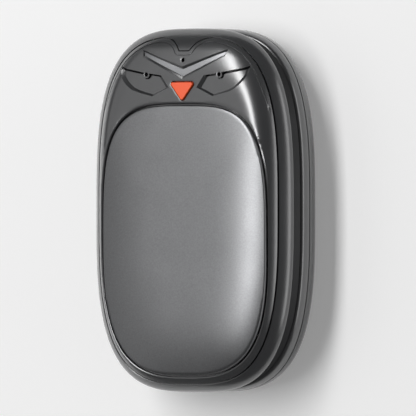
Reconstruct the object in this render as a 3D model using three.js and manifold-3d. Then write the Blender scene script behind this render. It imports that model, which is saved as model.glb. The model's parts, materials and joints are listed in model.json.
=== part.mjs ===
// A palm-sized rechargeable hand warmer, lying on its back, in millimetres.
// X is the width, +Y points to the head end with the face, +Z comes out of the front heating plate.
// The origin is the bottom centre of the body: the rear plate's flat middle lies on Z = 0.

import * as THREE from 'three';
import { mergeVertices } from 'three/addons/utils/BufferGeometryUtils.js';
import Module from 'manifold-3d';

const wasm = await Module();
wasm.setup();

// Wall, corner shape and clearances that every piece shares.
const body = { power: 3.15, wall: 1.8 };
const clearance = { seat: 0.3, cell: 0.3, board: 0.15, bore: 0.3, cellTop: 0.3, film: 0.3, ear: 0.35 };

// One length that cutters run past what they cut.
const overrun = 3;

// Two round cells side by side, and the cradle that holds them.
const cell = { diameter: 18.3, length: 65, gap: 0.9, button: 5.6, buttonHeight: 0.6 };
const cradle = { rib: 3, railWidth: 1.1, railHeight: 5, floor: 1.05, endMargin: 5 };
const strip = { overlap: 1.6, height: 8, sheet: 0.2 };
const fuse = { diameter: 2.4, length: 8 };

// Both heating plates: a crowned sheet that stands proud of its lip.
const plate = {
  headPower: 3.48, footPower: 2.98, proud: 0.6, sheet: 1.2, flatShare: 0.55, crownPower: 2,
  edgeRound: 0.35,
};

// The ledge under a plate's rim, the groove round the plate, and the ledge's hold on the ears.
const ledge = { width: 2, sheet: 1.2, groove: 0.3, overEars: 0.8 };

// What the casing adds round the plates: at the sides, at the foot end, and the head with the face.
const bezel = { side: 5.65, foot: 4.8 };
const face = { height: 22.2 };

// The heater films and the foam pads between the plates and the cells.
const film = { endInset: 6, sheet: 0.25 };
const pad = { sideInset: 0.6, endInset: 1, frontSheet: 1.95, rearSheet: 1 };
const sensor = { width: 2.4, length: 4, height: 1, pocket: 0.4 };

// The parting line between the front cover and the front frame, inset from the widest outline.
const frontLine = { sideInset: 2.9, endInset: 2.35, drop: 3.55, split: 0.3 };

// The cover's dome is level in the middle and falls to the front line round its rim.
const dome = { startShare: 0.76, power: 3.1 };

// The front frame's rounded band and its rear edge.
const frame = { bandHeight: 3.7, edgeHeight: 0.25 };

// The parting line between the middle housing and the rear cover, with its tongue and rebate.
const rearLine = { wallHeight: 1.2, tongueInset: 0.9, tongueHeight: 0.8, rebateDepth: 1.2 };

// The rear cover's rounding from its side wall to its flat back.
const rear = { radius: 7.8 };

// From the rear line up: the rounded hip, the slope to the neck, and the waist that the fingers hold.
const waist = {
  hipInset: 1.35, hipRise: 3.2, neckIn: 1.4, neckRise: 1.45, waistIn: 0.4, waistRise: 0.55,
};

// The face's outlines: shares of the body's half width across, and shares of the face's height up.
const browShares = [[0, 0.338], [0.412, 0.631], [0.435, 0.73], [0, 0.505]];
const brow = { inlayInset: 0.6, inlaySheet: 0.6, inlayBelow: 0.4, floorGap: 0.1 };
const eyeTopShares = [[0.655, 0.516], [0.605, 0.486]];
const eyeInnerShares = [[0.217, 0.39], [0.141, 0.233], [0.306, 0.117]];
const eyeCurveShares = [[0.479, 0.182], [0.613, 0.325], [0.653, 0.465], eyeTopShares[0]];
const bossTurnShares = [0.19, -1.09];
const eye = { depth: 0.5 };
const notchShares = { flatEnd: [0.0458, 0.703], bend: [0.128, 0.838], peak: [0.2947, 0.874] };
const beakShares = [[-0.12, 0.297], [0, 0.06], [0.12, 0.297]];

// The beak is the power button, with a flange under the cover and a stem over the switch.
const beak = {
  corner: 0.7, proud: 0.6, flange: 0.9, flangeHeight: 0.8, stemDiameter: 2.4, stemLength: 0.9,
  travel: 0.4, play: 0.15,
};

// The lamps' pinholes in the face, each eye's in a boss that the pocket goes round, and the pipes.
const lampShares = { eye: [0.3695, 0.401], forehead: [0, 0.588] };
const lampHole = { diameter: 1.2, bossRadius: 1.05 };
const pipe = { diameter: 0.7, below: 0.5, flangeDiameter: 2.4, flangeHeight: 0.8 };

// The main board under the head, its screw posts, and what stands on it.
const board = { sheet: 1.2, edgeInset: 2.2 };
const boardPost = { radius: 2, edge: 1.9, plateInset: 1.4, rimGap: 0.6, turnShare: 0.354 };
const tact = { width: 4.6, height: 2.4, plungerDiameter: 2.6, plungerHeight: 1.9, plungerProud: 0.9 };
const statusLamp = { width: 1.6, depth: 1, height: 0.7 };
const controlChip = { width: 5, depth: 5, height: 1, fromMiddle: 7.5, fromFoot: 2.9 };
const inductor = { diameter: 5.4, height: 2.6, fromMiddle: 9.2, fromFoot: 4 };
const batterySocket = { width: 6, depth: 4.4, height: 3.4, fromCell: 2.4, fromFoot: 4 };

// The charge board at the foot end, with the charging socket in the middle housing's wall.
const chargeBoard = {
  edge: 0.5, sheet: 1, footGap: 0.3, postGap: 5.95, postRadius: 1.9, postFloor: 1.05,
};
const usb = {
  width: 8.9, height: 3.2, depth: 7.3, sideFlat: 0.2, wall: 0.35, aboveLine: 3.5, recess: 0.5,
  tongueWidth: 6.6, tongueHeight: 0.7, tongueDepth: 4.6,
  baseDepth: 1.6, baseWidth: 5.7, baseHeight: 1.8,
};
const chargeChip = { width: 2.6, depth: 2.6, height: 0.9 };

// The case screws, from the back through all the shells, and the columns that take them.
const screwRowShares = [0.58, 0.08, -0.42];
const caseScrew = {
  headDiameter: 3.8, headHeight: 1.2, shankDiameter: 1.8, tipGap: 1.15, earWall: 0.5, columnWall: 1.15,
  webWidth: 1.4, slotWidth: 0.6, slotDepth: 0.5,
};
const boardScrew = { headDiameter: 3.2, headHeight: 1, shankDiameter: 1.5, length: 4.6 };

// Wires and the ribbon between the boards.
const wire = { diameter: 1.2, bend: 1.4, arcs: 3, steps: 22, footX: 5 };
const ribbon = { width: 3, sheet: 0.4, start: 0.65 };

// How finely round forms are divided, and how much closer the outlines' points stand at the corners.
const stationCount = 48;
const sheetStride = 3;
const cornerReach = 30;
const finerShare = 1 / 40;
const screwSides = 10;
const shankSides = 8;
const cellSides = 20;
const meshTolerance = 0.03;

// Across: the cells in their cradle, a row of screws, the plate over them and the bezel.
const cellPitch = cell.diameter + cell.gap;
const earRadius = caseScrew.headDiameter / 2 + clearance.bore + caseScrew.earWall;
const columnRadius = caseScrew.shankDiameter / 2 + clearance.bore + caseScrew.columnWall;
const cradleReach = cellPitch / 2 + cell.diameter / 2 + clearance.cell + cradle.railWidth;
const screwX = cradleReach + clearance.ear + earRadius;
const plateHalfWidth = screwX + earRadius + ledge.width - ledge.overEars;
const halfWidth = plateHalfWidth + bezel.side;

// Along, from the foot end: the socket and the ribbon, the cells, the leads and the board, the face.
const leadOut = 2 * clearance.board + strip.sheet + wire.diameter;
const socketRoom = usb.depth + usb.recess + waist.hipInset;
const footRoom = leadOut + 2 * clearance.seat + ribbon.sheet + ribbon.start + socketRoom;
const headRoom = leadOut + clearance.seat + boardPost.edge + boardPost.plateInset + face.height;
const halfLength = (footRoom + cell.length + headRoom) / 2;
const cellFootY = footRoom - halfLength;
const cellHeadY = cellFootY + cell.length;
const boardFootY = cellHeadY + leadOut + clearance.seat;
const footPostY = boardFootY + boardPost.edge;
const plateHeadY = footPostY + boardPost.plateInset;
const plateFootY = bezel.foot - halfLength;
const plateCentreY = (plateHeadY + plateFootY) / 2;
const plateHalfLength = (plateHeadY - plateFootY) / 2;

// Up, from the rear plate: the stack to the cells, and from there to the front plate.
const rearCrest = plate.proud;
const stackSheet = plate.sheet + clearance.film + film.sheet + clearance.board;
const cradleFoot = stackSheet + pad.rearSheet + clearance.seat;
const cellZ = cradleFoot + cradle.floor + clearance.cell + cell.diameter / 2;
const thickness = cellZ + cell.diameter / 2 + clearance.cellTop + pad.frontSheet + stackSheet;
const faceCrest = thickness - plate.proud;
const frontLineZ = faceCrest - frontLine.drop;
const frameEdgeZ = frontLineZ - frame.bandHeight;
const frameRearZ = frameEdgeZ - frame.edgeHeight;
const flangeTopZ = faceCrest - body.wall - clearance.seat;
const plungerTopZ = flangeTopZ - beak.flangeHeight - beak.stemLength - beak.play;
const boardTopZ = plungerTopZ - tact.plungerProud - tact.height - clearance.board;
const rearLineZ = rearCrest + rear.radius + rearLine.wallHeight;
const usbZ = rearLineZ + usb.aboveLine;
const neckInset = waist.hipInset + waist.neckIn;
const waistInset = neckInset + waist.waistIn;
const rimInset = waistInset + body.wall;
const chargePostX = usb.width / 2 + chargeBoard.postGap;

// Places on the face, from shares across the body and up the face.
const faceX = (share) => share * halfWidth;
const faceY = (share) => plateHeadY + share * face.height;
const onFace = ([across, up]) => [faceX(across), faceY(up)];
const beakCorners = beakShares.map(onFace);
const tactY = beakCorners.reduce((sum, [, y]) => sum + y, 0) / beakCorners.length;
const socketX = -cellPitch / 2 - batterySocket.fromCell;

const finish = {
  casing: { color: 0x3b3c3f, roughness: 0.42, metalness: 0 },
  frame: { color: 0x343538, roughness: 0.36, metalness: 0 },
  plate: { color: 0x8f9194, roughness: 0.34, metalness: 0.85 },
  trim: { color: 0xa3a5a8, roughness: 0.3, metalness: 0.7 },
  beak: { color: 0xff6a3c, roughness: 0.45, metalness: 0 },
  clear: { color: 0xdfe6ea, roughness: 0.2, metalness: 0 },
  board: { color: 0x1f5a3a, roughness: 0.5, metalness: 0 },
  chip: { color: 0x1c1c1e, roughness: 0.5, metalness: 0 },
  lamp: { color: 0xf4f0d8, roughness: 0.4, metalness: 0 },
  socket: { color: 0xe8e6df, roughness: 0.5, metalness: 0 },
  steel: { color: 0xb9bcc0, roughness: 0.3, metalness: 1 },
  nickel: { color: 0xc9c6bd, roughness: 0.35, metalness: 1 },
  cell: { color: 0x3a6ea8, roughness: 0.4, metalness: 0.1 },
  cradle: { color: 0x26272a, roughness: 0.6, metalness: 0 },
  film: { color: 0xc98a2e, roughness: 0.35, metalness: 0.1 },
  foam: { color: 0x8b8d90, roughness: 0.95, metalness: 0 },
  red: { color: 0xb5261e, roughness: 0.5, metalness: 0 },
  black: { color: 0x18181a, roughness: 0.5, metalness: 0 },
  ribbon: { color: 0xd8d4c8, roughness: 0.5, metalness: 0 },
};

// Outlines. One superellipse has a power for the head half and one for the foot half.
function superellipse(a, b, centreY = 0, headPower = body.power, footPower = headPower) {
  return { a, b, centreY, headPower, footPower };
}

function insetOutline(side, end = side) {
  return superellipse(halfWidth - side, halfLength - end);
}

function plateOutline(inset = 0) {
  return superellipse(
    plateHalfWidth - inset, plateHalfLength - inset, plateCentreY, plate.headPower, plate.footPower,
  );
}

function outlinePoint(outline, angle) {
  const c = Math.cos(angle);
  const s = Math.sin(angle);
  const power = s >= 0 ? outline.headPower : outline.footPower;
  return [
    outline.a * Math.sign(c) * Math.abs(c) ** (2 / power),
    outline.centreY + outline.b * Math.sign(s) * Math.abs(s) ** (2 / power),
  ];
}

// A point's radius in an outline: 0 at its centre and 1 on the outline itself.
function radiusIn(outline, x, y) {
  const dy = y - outline.centreY;
  const power = dy >= 0 ? outline.headPower : outline.footPower;
  return (Math.abs(x / outline.a) ** power + Math.abs(dy / outline.b) ** power) ** (1 / power);
}

// How far an outline reaches along one half axis, at a place on the other one.
function reachAt(reach, across, place, power = body.power) {
  return reach * (1 - Math.abs(place / across) ** power) ** (1 / power);
}

// How far a point lies inside an outline, measured square to it.
function insetIn(outline, x, y) {
  const r = radiusIn(outline, x, y);
  if (r === 0) return Math.min(outline.a, outline.b);
  const dy = y - outline.centreY;
  const power = dy >= 0 ? outline.headPower : outline.footPower;
  const gx = Math.abs(x / outline.a / r) ** (power - 1) / outline.a;
  const gy = Math.abs(dy / outline.b / r) ** (power - 1) / outline.b;
  return (1 - r) / Math.hypot(gx, gy);
}

// Angles that divide the body's outline into steps, closer together where it turns a corner.
function cornerStations(count) {
  const fine = Math.round(count / finerShare);
  const outline = insetOutline(0);
  const points = [];
  for (let i = 0; i <= fine; i++) {
    points.push(new THREE.Vector2(...outlinePoint(outline, (2 * Math.PI * i) / fine)));
  }
  const run = [0];
  for (let i = 1; i <= fine; i++) {
    const step = points[i].clone().sub(points[i - 1]);
    const next = points[(i % fine) + 1].clone().sub(points[i % fine]);
    const turn = Math.abs(step.cross(next)) / (step.length() * next.length());
    run.push(run[i - 1] + step.length() + cornerReach * turn);
  }
  const stations = [];
  let i = 0;
  for (let k = 0; k < count; k++) {
    const wanted = (run[fine] * k) / count;
    while (run[i + 1] <= wanted) i++;
    const share = (wanted - run[i]) / (run[i + 1] - run[i]);
    stations.push((2 * Math.PI * (i + share)) / fine);
  }
  return stations;
}
const stations = cornerStations(stationCount);

// The dome of the front cover, its frame and the front plate.
const frontLineOutline = insetOutline(frontLine.sideInset, frontLine.endInset);
function domeZ(x, y) {
  const share = (radiusIn(frontLineOutline, x, y) - dome.startShare) / (1 - dome.startShare);
  return faceCrest - frontLine.drop * Math.max(share, 0) ** dome.power;
}

// The rounded back of the rear cover, and the same rounding one wall further in.
const bodyOutline = insetOutline(0);
function backZ(x, y, wall = 0) {
  const radius = rear.radius - wall;
  const inset = Math.min(Math.max(insetIn(bodyOutline, x, y) - wall, 0), radius);
  return rearCrest + wall + radius - Math.sqrt(radius ** 2 - (radius - inset) ** 2);
}

// A heating plate stands proud in its middle and meets its lip at the edge.
function plateRise(x, y) {
  const share = (radiusIn(plateOutline(), x, y) - plate.flatShare) / (1 - plate.flatShare);
  return plate.proud * (1 - Math.max(share, 0) ** plate.crownPower);
}
const frontPlateZ = (x, y) => domeZ(x, y) + plateRise(x, y);
const rearPlateZ = (x, y) => backZ(x, y) - plateRise(x, y);

// Closed meshes from rings of points. Every ring has one point for each station.
function ring(outline, height, angles = stations) {
  return angles.map((angle) => {
    const [x, y] = outlinePoint(outline, angle);
    return [x, y, typeof height === 'function' ? height(x, y, angle) : height];
  });
}

function ringBetween(inner, outer, share, height, angles = stations) {
  return angles.map((angle) => {
    const [x0, y0] = outlinePoint(inner, angle);
    const [x1, y1] = outlinePoint(outer, angle);
    const x = x0 + (x1 - x0) * share;
    const y = y0 + (y1 - y0) * share;
    return [x, y, height(x, y)];
  });
}

function meshFrom(points, triangles) {
  let volume = 0;
  for (const [a, b, c] of triangles) {
    const [p, q, r] = [points[a], points[b], points[c]].map((v) => new THREE.Vector3(...v));
    volume += p.dot(q.cross(r));
  }
  const outward = volume > 0 ? triangles : triangles.map(([a, b, c]) => [a, c, b]);
  const geometry = new THREE.BufferGeometry();
  geometry.setAttribute('position', new THREE.Float32BufferAttribute(points.flat(), 3));
  geometry.setIndex(outward.flat());
  return geometry;
}

function quads(rings, closed) {
  const triangles = [];
  const count = rings[0].length;
  const spans = closed ? rings.length : rings.length - 1;
  for (let j = 0; j < spans; j++) {
    const next = (j + 1) % rings.length;
    for (let i = 0; i < count; i++) {
      const k = (i + 1) % count;
      triangles.push([j * count + i, j * count + k, next * count + k]);
      triangles.push([j * count + i, next * count + k, next * count + i]);
    }
  }
  return triangles;
}

// A tube-like shell: the last ring joins the first again.
function hoop(rings) {
  return meshFrom(rings.flat(), quads(rings, true));
}

// A closed lens or drum: its first and last rings are capped to a middle point.
function drumOfRings(rings, firstMiddle, lastMiddle) {
  const points = [...rings.flat(), firstMiddle, lastMiddle];
  const triangles = quads(rings, false);
  const first = points.length - 2;
  const last = points.length - 1;
  const count = rings[0].length;
  const base = (rings.length - 1) * count;
  for (let i = 0; i < count; i++) {
    const k = (i + 1) % count;
    triangles.push([first, k, i]);
    triangles.push([last, base + i, base + k]);
  }
  return meshFrom(points, triangles);
}

// Quarter-round run from one inset and height to another, level at its start and upright at its end.
function roundOver(fromInset, fromZ, toInset, toZ, steps) {
  const run = [];
  for (let k = 0; k <= steps; k++) {
    const turn = (Math.PI / 2) * (k / steps);
    run.push([
      fromInset + (toInset - fromInset) * Math.sin(turn),
      fromZ + (toZ - fromZ) * (1 - Math.cos(turn)),
    ]);
  }
  return run;
}

// Solids for cutting and joining.
function solid(geometry) {
  const plain = geometry.clone();
  plain.deleteAttribute('normal');
  plain.deleteAttribute('uv');
  const merged = mergeVertices(plain);
  return new wasm.Manifold(new wasm.Mesh({
    numProp: 3,
    vertProperties: new Float32Array(merged.attributes.position.array),
    triVerts: new Uint32Array(merged.index.array),
  }));
}

function geometryOf(manifold) {
  const { vertProperties, triVerts } = manifold.simplify(meshTolerance).getMesh();
  const geometry = new THREE.BufferGeometry();
  geometry.setAttribute('position', new THREE.Float32BufferAttribute(vertProperties, 3));
  geometry.setIndex(new THREE.Uint32BufferAttribute(triVerts, 1));
  return geometry;
}

const joined = (parts) => parts.reduce((sum, part) => sum.add(part));
const mirrored = (points) => points.map(([x, y]) => [-x, y]).reverse();

// A flat outline's closed loop moved sideways, outwards where the distance is positive.
function offsetLoop(points, distance) {
  const count = points.length;
  let area = 0;
  for (let i = 0; i < count; i++) {
    const [x0, y0] = points[i];
    const [x1, y1] = points[(i + 1) % count];
    area += x0 * y1 - x1 * y0;
  }
  const side = Math.sign(area) * distance;
  return points.map(([x, y], i) => {
    const [px, py] = points[(i + count - 1) % count];
    const [nx, ny] = points[(i + 1) % count];
    const before = new THREE.Vector2(x - px, y - py).normalize();
    const after = new THREE.Vector2(nx - x, ny - y).normalize();
    const mitre = before.clone().add(after).normalize();
    const stretch = side / Math.max(mitre.dot(before), 1 / 2);
    return [x + mitre.y * stretch, y - mitre.x * stretch];
  });
}

const shapeOf = (points) => new THREE.Shape(points.map(([x, y]) => new THREE.Vector2(x, y)));

// An upright prism of a flat outline from one height to another.
function prism(shape, fromZ, toZ, curveSegments = 4) {
  const geometry = new THREE.ExtrudeGeometry(shape, {
    depth: toZ - fromZ, bevelEnabled: false, curveSegments,
  });
  return geometry.translate(0, 0, fromZ);
}

function pillar(radius, fromZ, toZ, x, y, sides = screwSides) {
  const geometry = new THREE.CylinderGeometry(radius, radius, toZ - fromZ, sides);
  return geometry.rotateX(Math.PI / 2).translate(x, y, (fromZ + toZ) / 2);
}

function block(width, depth, fromZ, toZ, x, y) {
  return new THREE.BoxGeometry(width, depth, toZ - fromZ).translate(x, y, (fromZ + toZ) / 2);
}

// The object, as named meshes in one group.
const warmer = new THREE.Group();
function add(name, geometry, look, x = 0, y = 0, z = 0) {
  const shaded = geometry.index ? geometry.toNonIndexed() : geometry;
  shaded.computeVertexNormals();
  const mesh = new THREE.Mesh(shaded, new THREE.MeshStandardMaterial(finish[look]));
  mesh.name = name;
  mesh.position.set(x, y, z);
  warmer.add(mesh);
  return mesh;
}

// A layer of the front dome between two offsets from its surface, as wide as an outline.
function domeLayer(outline, above, below) {
  const shares = [1, 0.93, 0.85, 0.75, 0.6];
  const centre = superellipse(0, 0);
  const layer = (offset) => shares.map(
    (share) => ringBetween(centre, outline, share, (x, y) => domeZ(x, y) + offset),
  );
  const top = layer(above);
  const bottom = layer(-below);
  return solid(drumOfRings(
    [...top.reverse(), ...bottom], [0, 0, faceCrest + above], [0, 0, faceCrest - below],
  ));
}

// The face's outlines, all in the view from the front.
function notchLoop(grow) {
  const curve = new THREE.QuadraticBezierCurve(
    new THREE.Vector2(...onFace(notchShares.flatEnd)),
    new THREE.Vector2(...onFace(notchShares.bend)),
    new THREE.Vector2(...onFace(notchShares.peak)),
  );
  const right = curve.getPoints(6).map((p) => [p.x, p.y]);
  right.push([onFace(notchShares.peak)[0], halfLength + overrun]);
  return offsetLoop([...right, ...mirrored(right)], grow);
}

function browLoop(inset) {
  const half = browShares.map(onFace);
  return offsetLoop([...half, ...mirrored(half.slice(1, -1))], -inset);
}

// The right eye runs from the tip along the lid, under the lamp's boss, and back along the lower curve.
function eyeLoop() {
  const radius = lampHole.bossRadius;
  const [from, to] = bossTurnShares.map((share) => share * Math.PI);
  const boss = new THREE.EllipseCurve(...onFace(lampShares.eye), radius, radius, from, to, true);
  const arc = boss.getPoints(7).map((p) => [p.x, p.y]);
  const lower = new THREE.SplineCurve(
    [eyeInnerShares.at(-1), ...eyeCurveShares].map((s) => new THREE.Vector2(...onFace(s))),
  ).getPoints(9).map((p) => [p.x, p.y]);
  return [onFace(eyeTopShares[1]), ...arc, ...eyeInnerShares.map(onFace), ...lower.slice(1)];
}

function beakLoop(grow) {
  const points = [];
  const count = beakCorners.length;
  beakCorners.forEach(([x, y], i) => {
    const corner = new THREE.Vector2(x, y);
    const before = new THREE.Vector2(...beakCorners[(i + count - 1) % count]).sub(corner).normalize();
    const after = new THREE.Vector2(...beakCorners[(i + 1) % count]).sub(corner).normalize();
    const start = corner.clone().addScaledVector(before, beak.corner);
    const end = corner.clone().addScaledVector(after, beak.corner);
    const curve = new THREE.QuadraticBezierCurve(start, corner, end);
    points.push(...curve.getPoints(3).map((p) => [p.x, p.y]));
  });
  return offsetLoop(points, grow);
}

const [eyeLampX, eyeLampY] = onFace(lampShares.eye);
const lampPlaces = {
  light_pipe_left_eye: [-eyeLampX, eyeLampY],
  light_pipe_right_eye: [eyeLampX, eyeLampY],
  light_pipe_forehead: onFace(lampShares.forehead),
};
const screwPlaces = screwRowShares.flatMap((share) => {
  const y = plateCentreY + share * plateHalfLength;
  return [[-screwX, y], [screwX, y]];
});
const headPostOutline = insetOutline(rimInset + boardPost.rimGap + boardPost.radius);
const [headPostX, headPostY] = outlinePoint(headPostOutline, Math.PI * boardPost.turnShare);
const boardPostPlaces = [[-headPostX, headPostY], [headPostX, headPostY], [0, footPostY]];

// The deepest that a plate's back reaches over a screw column, measured at the column's outer side.
function plateBackOver(surface, side, x, y) {
  const outX = x + Math.sign(x) * earRadius;
  const outY = y + Math.sign(y - plateCentreY) * earRadius;
  return surface(outX, outY) - side * plate.sheet;
}
const screwHeadZ = clearance.seat + Math.max(
  ...screwPlaces.map(([x, y]) => plateBackOver(rearPlateZ, -1, x, y)),
);
const bossTopZ = Math.min(
  ...screwPlaces.map(([x, y]) => plateBackOver(frontPlateZ, 1, x, y)),
) - clearance.seat;
const screwTipZ = bossTopZ - caseScrew.tipGap;
const caseScrewLength = screwTipZ - screwHeadZ - caseScrew.headHeight;

// A plate's seat lies one plate and one clearance behind its lip.
const lipOutline = plateOutline(-ledge.groove);
const ledgeOutline = plateOutline(ledge.width);
const atLip = (height) => (x, y, angle) => height(...outlinePoint(lipOutline, angle));
const seatDepth = plate.sheet + clearance.seat;
const ledgeFootZ = Math.min(
  ...stations.map((angle) => domeZ(...outlinePoint(lipOutline, angle))),
) - seatDepth - ledge.sheet;

// Front cover: the domed face, its rim round the plate and the ledge under the plate.
function frontCover() {
  const split = frontLine.split / 2;
  const rim = insetOutline(frontLine.sideInset + split, frontLine.endInset + split);
  const topShares = [0, 0.2, 0.42, 0.62, 0.78, 0.9, 1];
  const underShares = [0.93, 0.6, 0.3, 0.03];
  const edge = body.wall - frontLine.split;
  const lipZ = atLip(domeZ);
  const underside = (x, y) => domeZ(x, y) - body.wall;
  const rings = [
    ...topShares.map((share) => ringBetween(lipOutline, rim, share, domeZ)),
    ring(rim, (x, y) => domeZ(x, y) - edge),
    ...underShares.map((share) => ringBetween(lipOutline, rim, share, underside)),
    ring(lipOutline, (x, y, angle) => lipZ(x, y, angle) - seatDepth - ledge.sheet),
    ring(ledgeOutline, (x, y, angle) => lipZ(x, y, angle) - seatDepth - ledge.sheet),
    ring(ledgeOutline, (x, y, angle) => lipZ(x, y, angle) - seatDepth),
    ring(lipOutline, (x, y, angle) => lipZ(x, y, angle) - seatDepth),
  ];
  let cover = solid(hoop(rings));

  for (const [x, y] of screwPlaces) {
    const rowPower = y > plateCentreY ? plate.headPower : plate.footPower;
    const edgeX = reachAt(plateHalfWidth, plateHalfLength, y - plateCentreY, rowPower);
    const ledgeTop = domeZ(edgeX + ledge.groove, y) - seatDepth;
    const web = block(edgeX - screwX, caseScrew.webWidth, ledgeTop - ledge.sheet,
      ledgeTop - clearance.board, Math.sign(x) * (edgeX + screwX) / 2, y);
    const boss = pillar(columnRadius, frameRearZ + clearance.seat, bossTopZ, x, y);
    cover = cover.add(solid(boss)).add(solid(web));
  }
  for (const [x, y] of boardPostPlaces) {
    const top = domeZ(x, y) - (y < plateHeadY ? seatDepth + ledge.sheet / 2 : body.wall / 2);
    cover = cover.add(solid(pillar(boardPost.radius, boardTopZ + clearance.board, top, x, y)));
  }

  const cuts = [];
  const caseBore = caseScrew.shankDiameter / 2 + clearance.bore;
  for (const [x, y] of screwPlaces) {
    cuts.push(pillar(caseBore, 0, screwTipZ + clearance.seat, x, y));
  }
  const boardBore = boardScrew.shankDiameter / 2 + clearance.bore;
  const boardTip = boardTopZ - board.sheet + boardScrew.length + clearance.seat;
  for (const [x, y] of boardPostPlaces) {
    cuts.push(pillar(boardBore, 0, boardTip, x, y));
  }
  for (const [x, y] of Object.values(lampPlaces)) {
    cuts.push(pillar(lampHole.diameter / 2, frontLineZ, thickness, x, y));
  }
  cuts.push(prism(shapeOf(beakLoop(clearance.seat / 2 + beak.play)), 0, thickness));
  cuts.push(prism(shapeOf(notchLoop(0)), 0, thickness));
  cover = cover.subtract(joined(cuts.map(solid)));

  const sunk = (loop, depth) => solid(prism(shapeOf(loop), frontLineZ, thickness))
    .intersect(domeLayer(frontLineOutline, overrun, depth));
  const eyes = [eyeLoop(), mirrored(eyeLoop())].map((loop) => sunk(loop, eye.depth));
  const browSeat = sunk(browLoop(0), brow.inlayBelow + brow.inlaySheet + brow.floorGap);
  add('front_cover', geometryOf(cover.subtract(joined([...eyes, browSeat]))), 'casing');
}

// Brow trim: a thin satin inlay on the floor of the chevron recess.
function browTrim() {
  const bar = solid(prism(shapeOf(browLoop(brow.inlayInset)), frontLineZ, thickness));
  const layer = domeLayer(frontLineOutline, -brow.inlayBelow, brow.inlayBelow + brow.inlaySheet);
  add('brow_trim', geometryOf(bar.intersect(layer)), 'trim');
}

// Front frame: the rounded band between the two parting lines, with the forehead tab.
function frontFrame() {
  const split = frontLine.split / 2;
  const endShare = (frontLine.endInset - split) / (frontLine.sideInset - split);
  const band = roundOver(frontLine.sideInset - split, frontLineZ, 0, frameEdgeZ, 5);
  const underCover = Math.min(frontLineZ - body.wall + frontLine.split, ledgeFootZ);
  const flangeZ = underCover - clearance.board;
  const rings = [
    ...band.map(([inset, z]) => ring(insetOutline(inset, inset * endShare), z)),
    ring(insetOutline(0), frameRearZ),
    ring(insetOutline(rimInset), frameRearZ),
    ring(insetOutline(rimInset), flangeZ),
    ring(insetOutline(frontLine.sideInset - split, frontLine.endInset - split), flangeZ),
  ];
  const past = insetOutline(
    frontLine.sideInset - split - frontLine.split, frontLine.endInset - split - frontLine.split,
  );
  const tab = solid(prism(shapeOf(notchLoop(-frontLine.split)), frameRearZ, thickness))
    .intersect(domeLayer(past, 0, body.wall));
  add('front_frame', geometryOf(solid(hoop(rings)).add(tab)), 'frame');
}

// Where the foot end's parts lie, and how high the rear cover's ears reach.
const socketFaceY = usb.recess + waist.hipInset - halfLength;
const chargeBoardHeadY = cellFootY - leadOut;
const chargeBoardWidth = 2 * (chargePostX + chargeBoard.edge) + boardScrew.headDiameter;
const footWall = insetOutline(body.wall + waist.hipInset);
const chargeBoardFootY = chargeBoard.footGap - reachAt(footWall.b, footWall.a, chargeBoardWidth / 2);
const chargeBoardY = (chargeBoardHeadY + chargeBoardFootY) / 2;
const chargeScrewTip = usbZ - usb.height / 2 - boardScrew.length;
const earTopZ = screwHeadZ + caseScrew.headHeight + clearance.seat + body.wall;

// Middle housing: the waist, the shoulder behind it, the screw columns and the socket's opening.
function housingOuter() {
  const foot = rearLineZ + clearance.seat / 2;
  const hipZ = rearLineZ + waist.hipRise;
  const neckZ = hipZ + waist.neckRise;
  return [
    [waistInset, frameRearZ - clearance.seat],
    [waistInset, neckZ + waist.waistRise],
    [neckInset, neckZ],
    ...roundOver(waist.hipInset, hipZ, 0, foot, 4),
  ];
}

function middleHousing() {
  const outer = housingOuter();
  const foot = rearLineZ + clearance.seat / 2;
  const tongueZ = foot - clearance.seat - rearLine.tongueHeight;
  const hidden = [outer.at(-1), outer[3], outer[1], outer[0]];
  const inner = hidden.map(([inset, z]) => [inset + body.wall, z]);
  const tongue = [[rearLine.tongueInset, foot], [rearLine.tongueInset, tongueZ], [body.wall, tongueZ]];
  const section = [...outer, ...tongue, ...inner];
  let housing = solid(hoop(section.map(([inset, z]) => ring(insetOutline(inset), z))));
  const filled = solid(drumOfRings(
    outer.map(([inset, z]) => ring(insetOutline(inset), z)),
    [0, 0, outer[0][1]], [0, 0, foot],
  ));

  const columnFoot = earTopZ + clearance.seat;
  const columnTop = frameRearZ;
  for (const [x, y] of screwPlaces) {
    const webX = Math.sign(x) * (halfWidth + screwX) / 2;
    const web = block(halfWidth - screwX, caseScrew.webWidth, foot, columnTop - body.wall, webX, y);
    housing = housing.add(solid(web).intersect(filled));
    housing = housing.add(solid(pillar(columnRadius, columnFoot, columnTop, x, y)));
  }
  const tongueMiddle = insetOutline((rearLine.tongueInset + body.wall) / 2);
  const withinTongue = solid(drumOfRings(
    [ring(tongueMiddle, tongueZ), ring(tongueMiddle, thickness)], [0, 0, tongueZ], [0, 0, thickness],
  ));
  const underBoard = usbZ - usb.height / 2 - clearance.board - chargeBoard.sheet;
  for (const side of [-1, 1]) {
    const postX = side * chargePostX;
    const postTop = underBoard - clearance.board;
    const postFoot = chargeScrewTip - chargeBoard.postFloor;
    const webY = (chargeBoardY - halfLength) / 2;
    const web = block(caseScrew.webWidth, halfLength + chargeBoardY, tongueZ, postTop, postX, webY);
    const post = pillar(chargeBoard.postRadius, postFoot, postTop, postX, chargeBoardY);
    housing = housing.add(solid(web).intersect(withinTongue)).add(solid(post));
  }

  const cuts = screwPlaces.map(([x, y]) => (
    solid(pillar(caseScrew.shankDiameter / 2 + clearance.bore, 0, thickness, x, y))
  ));
  const boardBore = boardScrew.shankDiameter / 2 + clearance.bore;
  for (const x of [-chargePostX, chargePostX]) {
    cuts.push(solid(pillar(boardBore, chargeScrewTip - clearance.seat, thickness, x, chargeBoardY)));
  }
  cuts.push(solid(socketPrism(clearance.seat, -halfLength - overrun, socketFaceY + usb.depth)));
  add('middle_housing', geometryOf(housing.subtract(joined(cuts))), 'casing');
}

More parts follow.
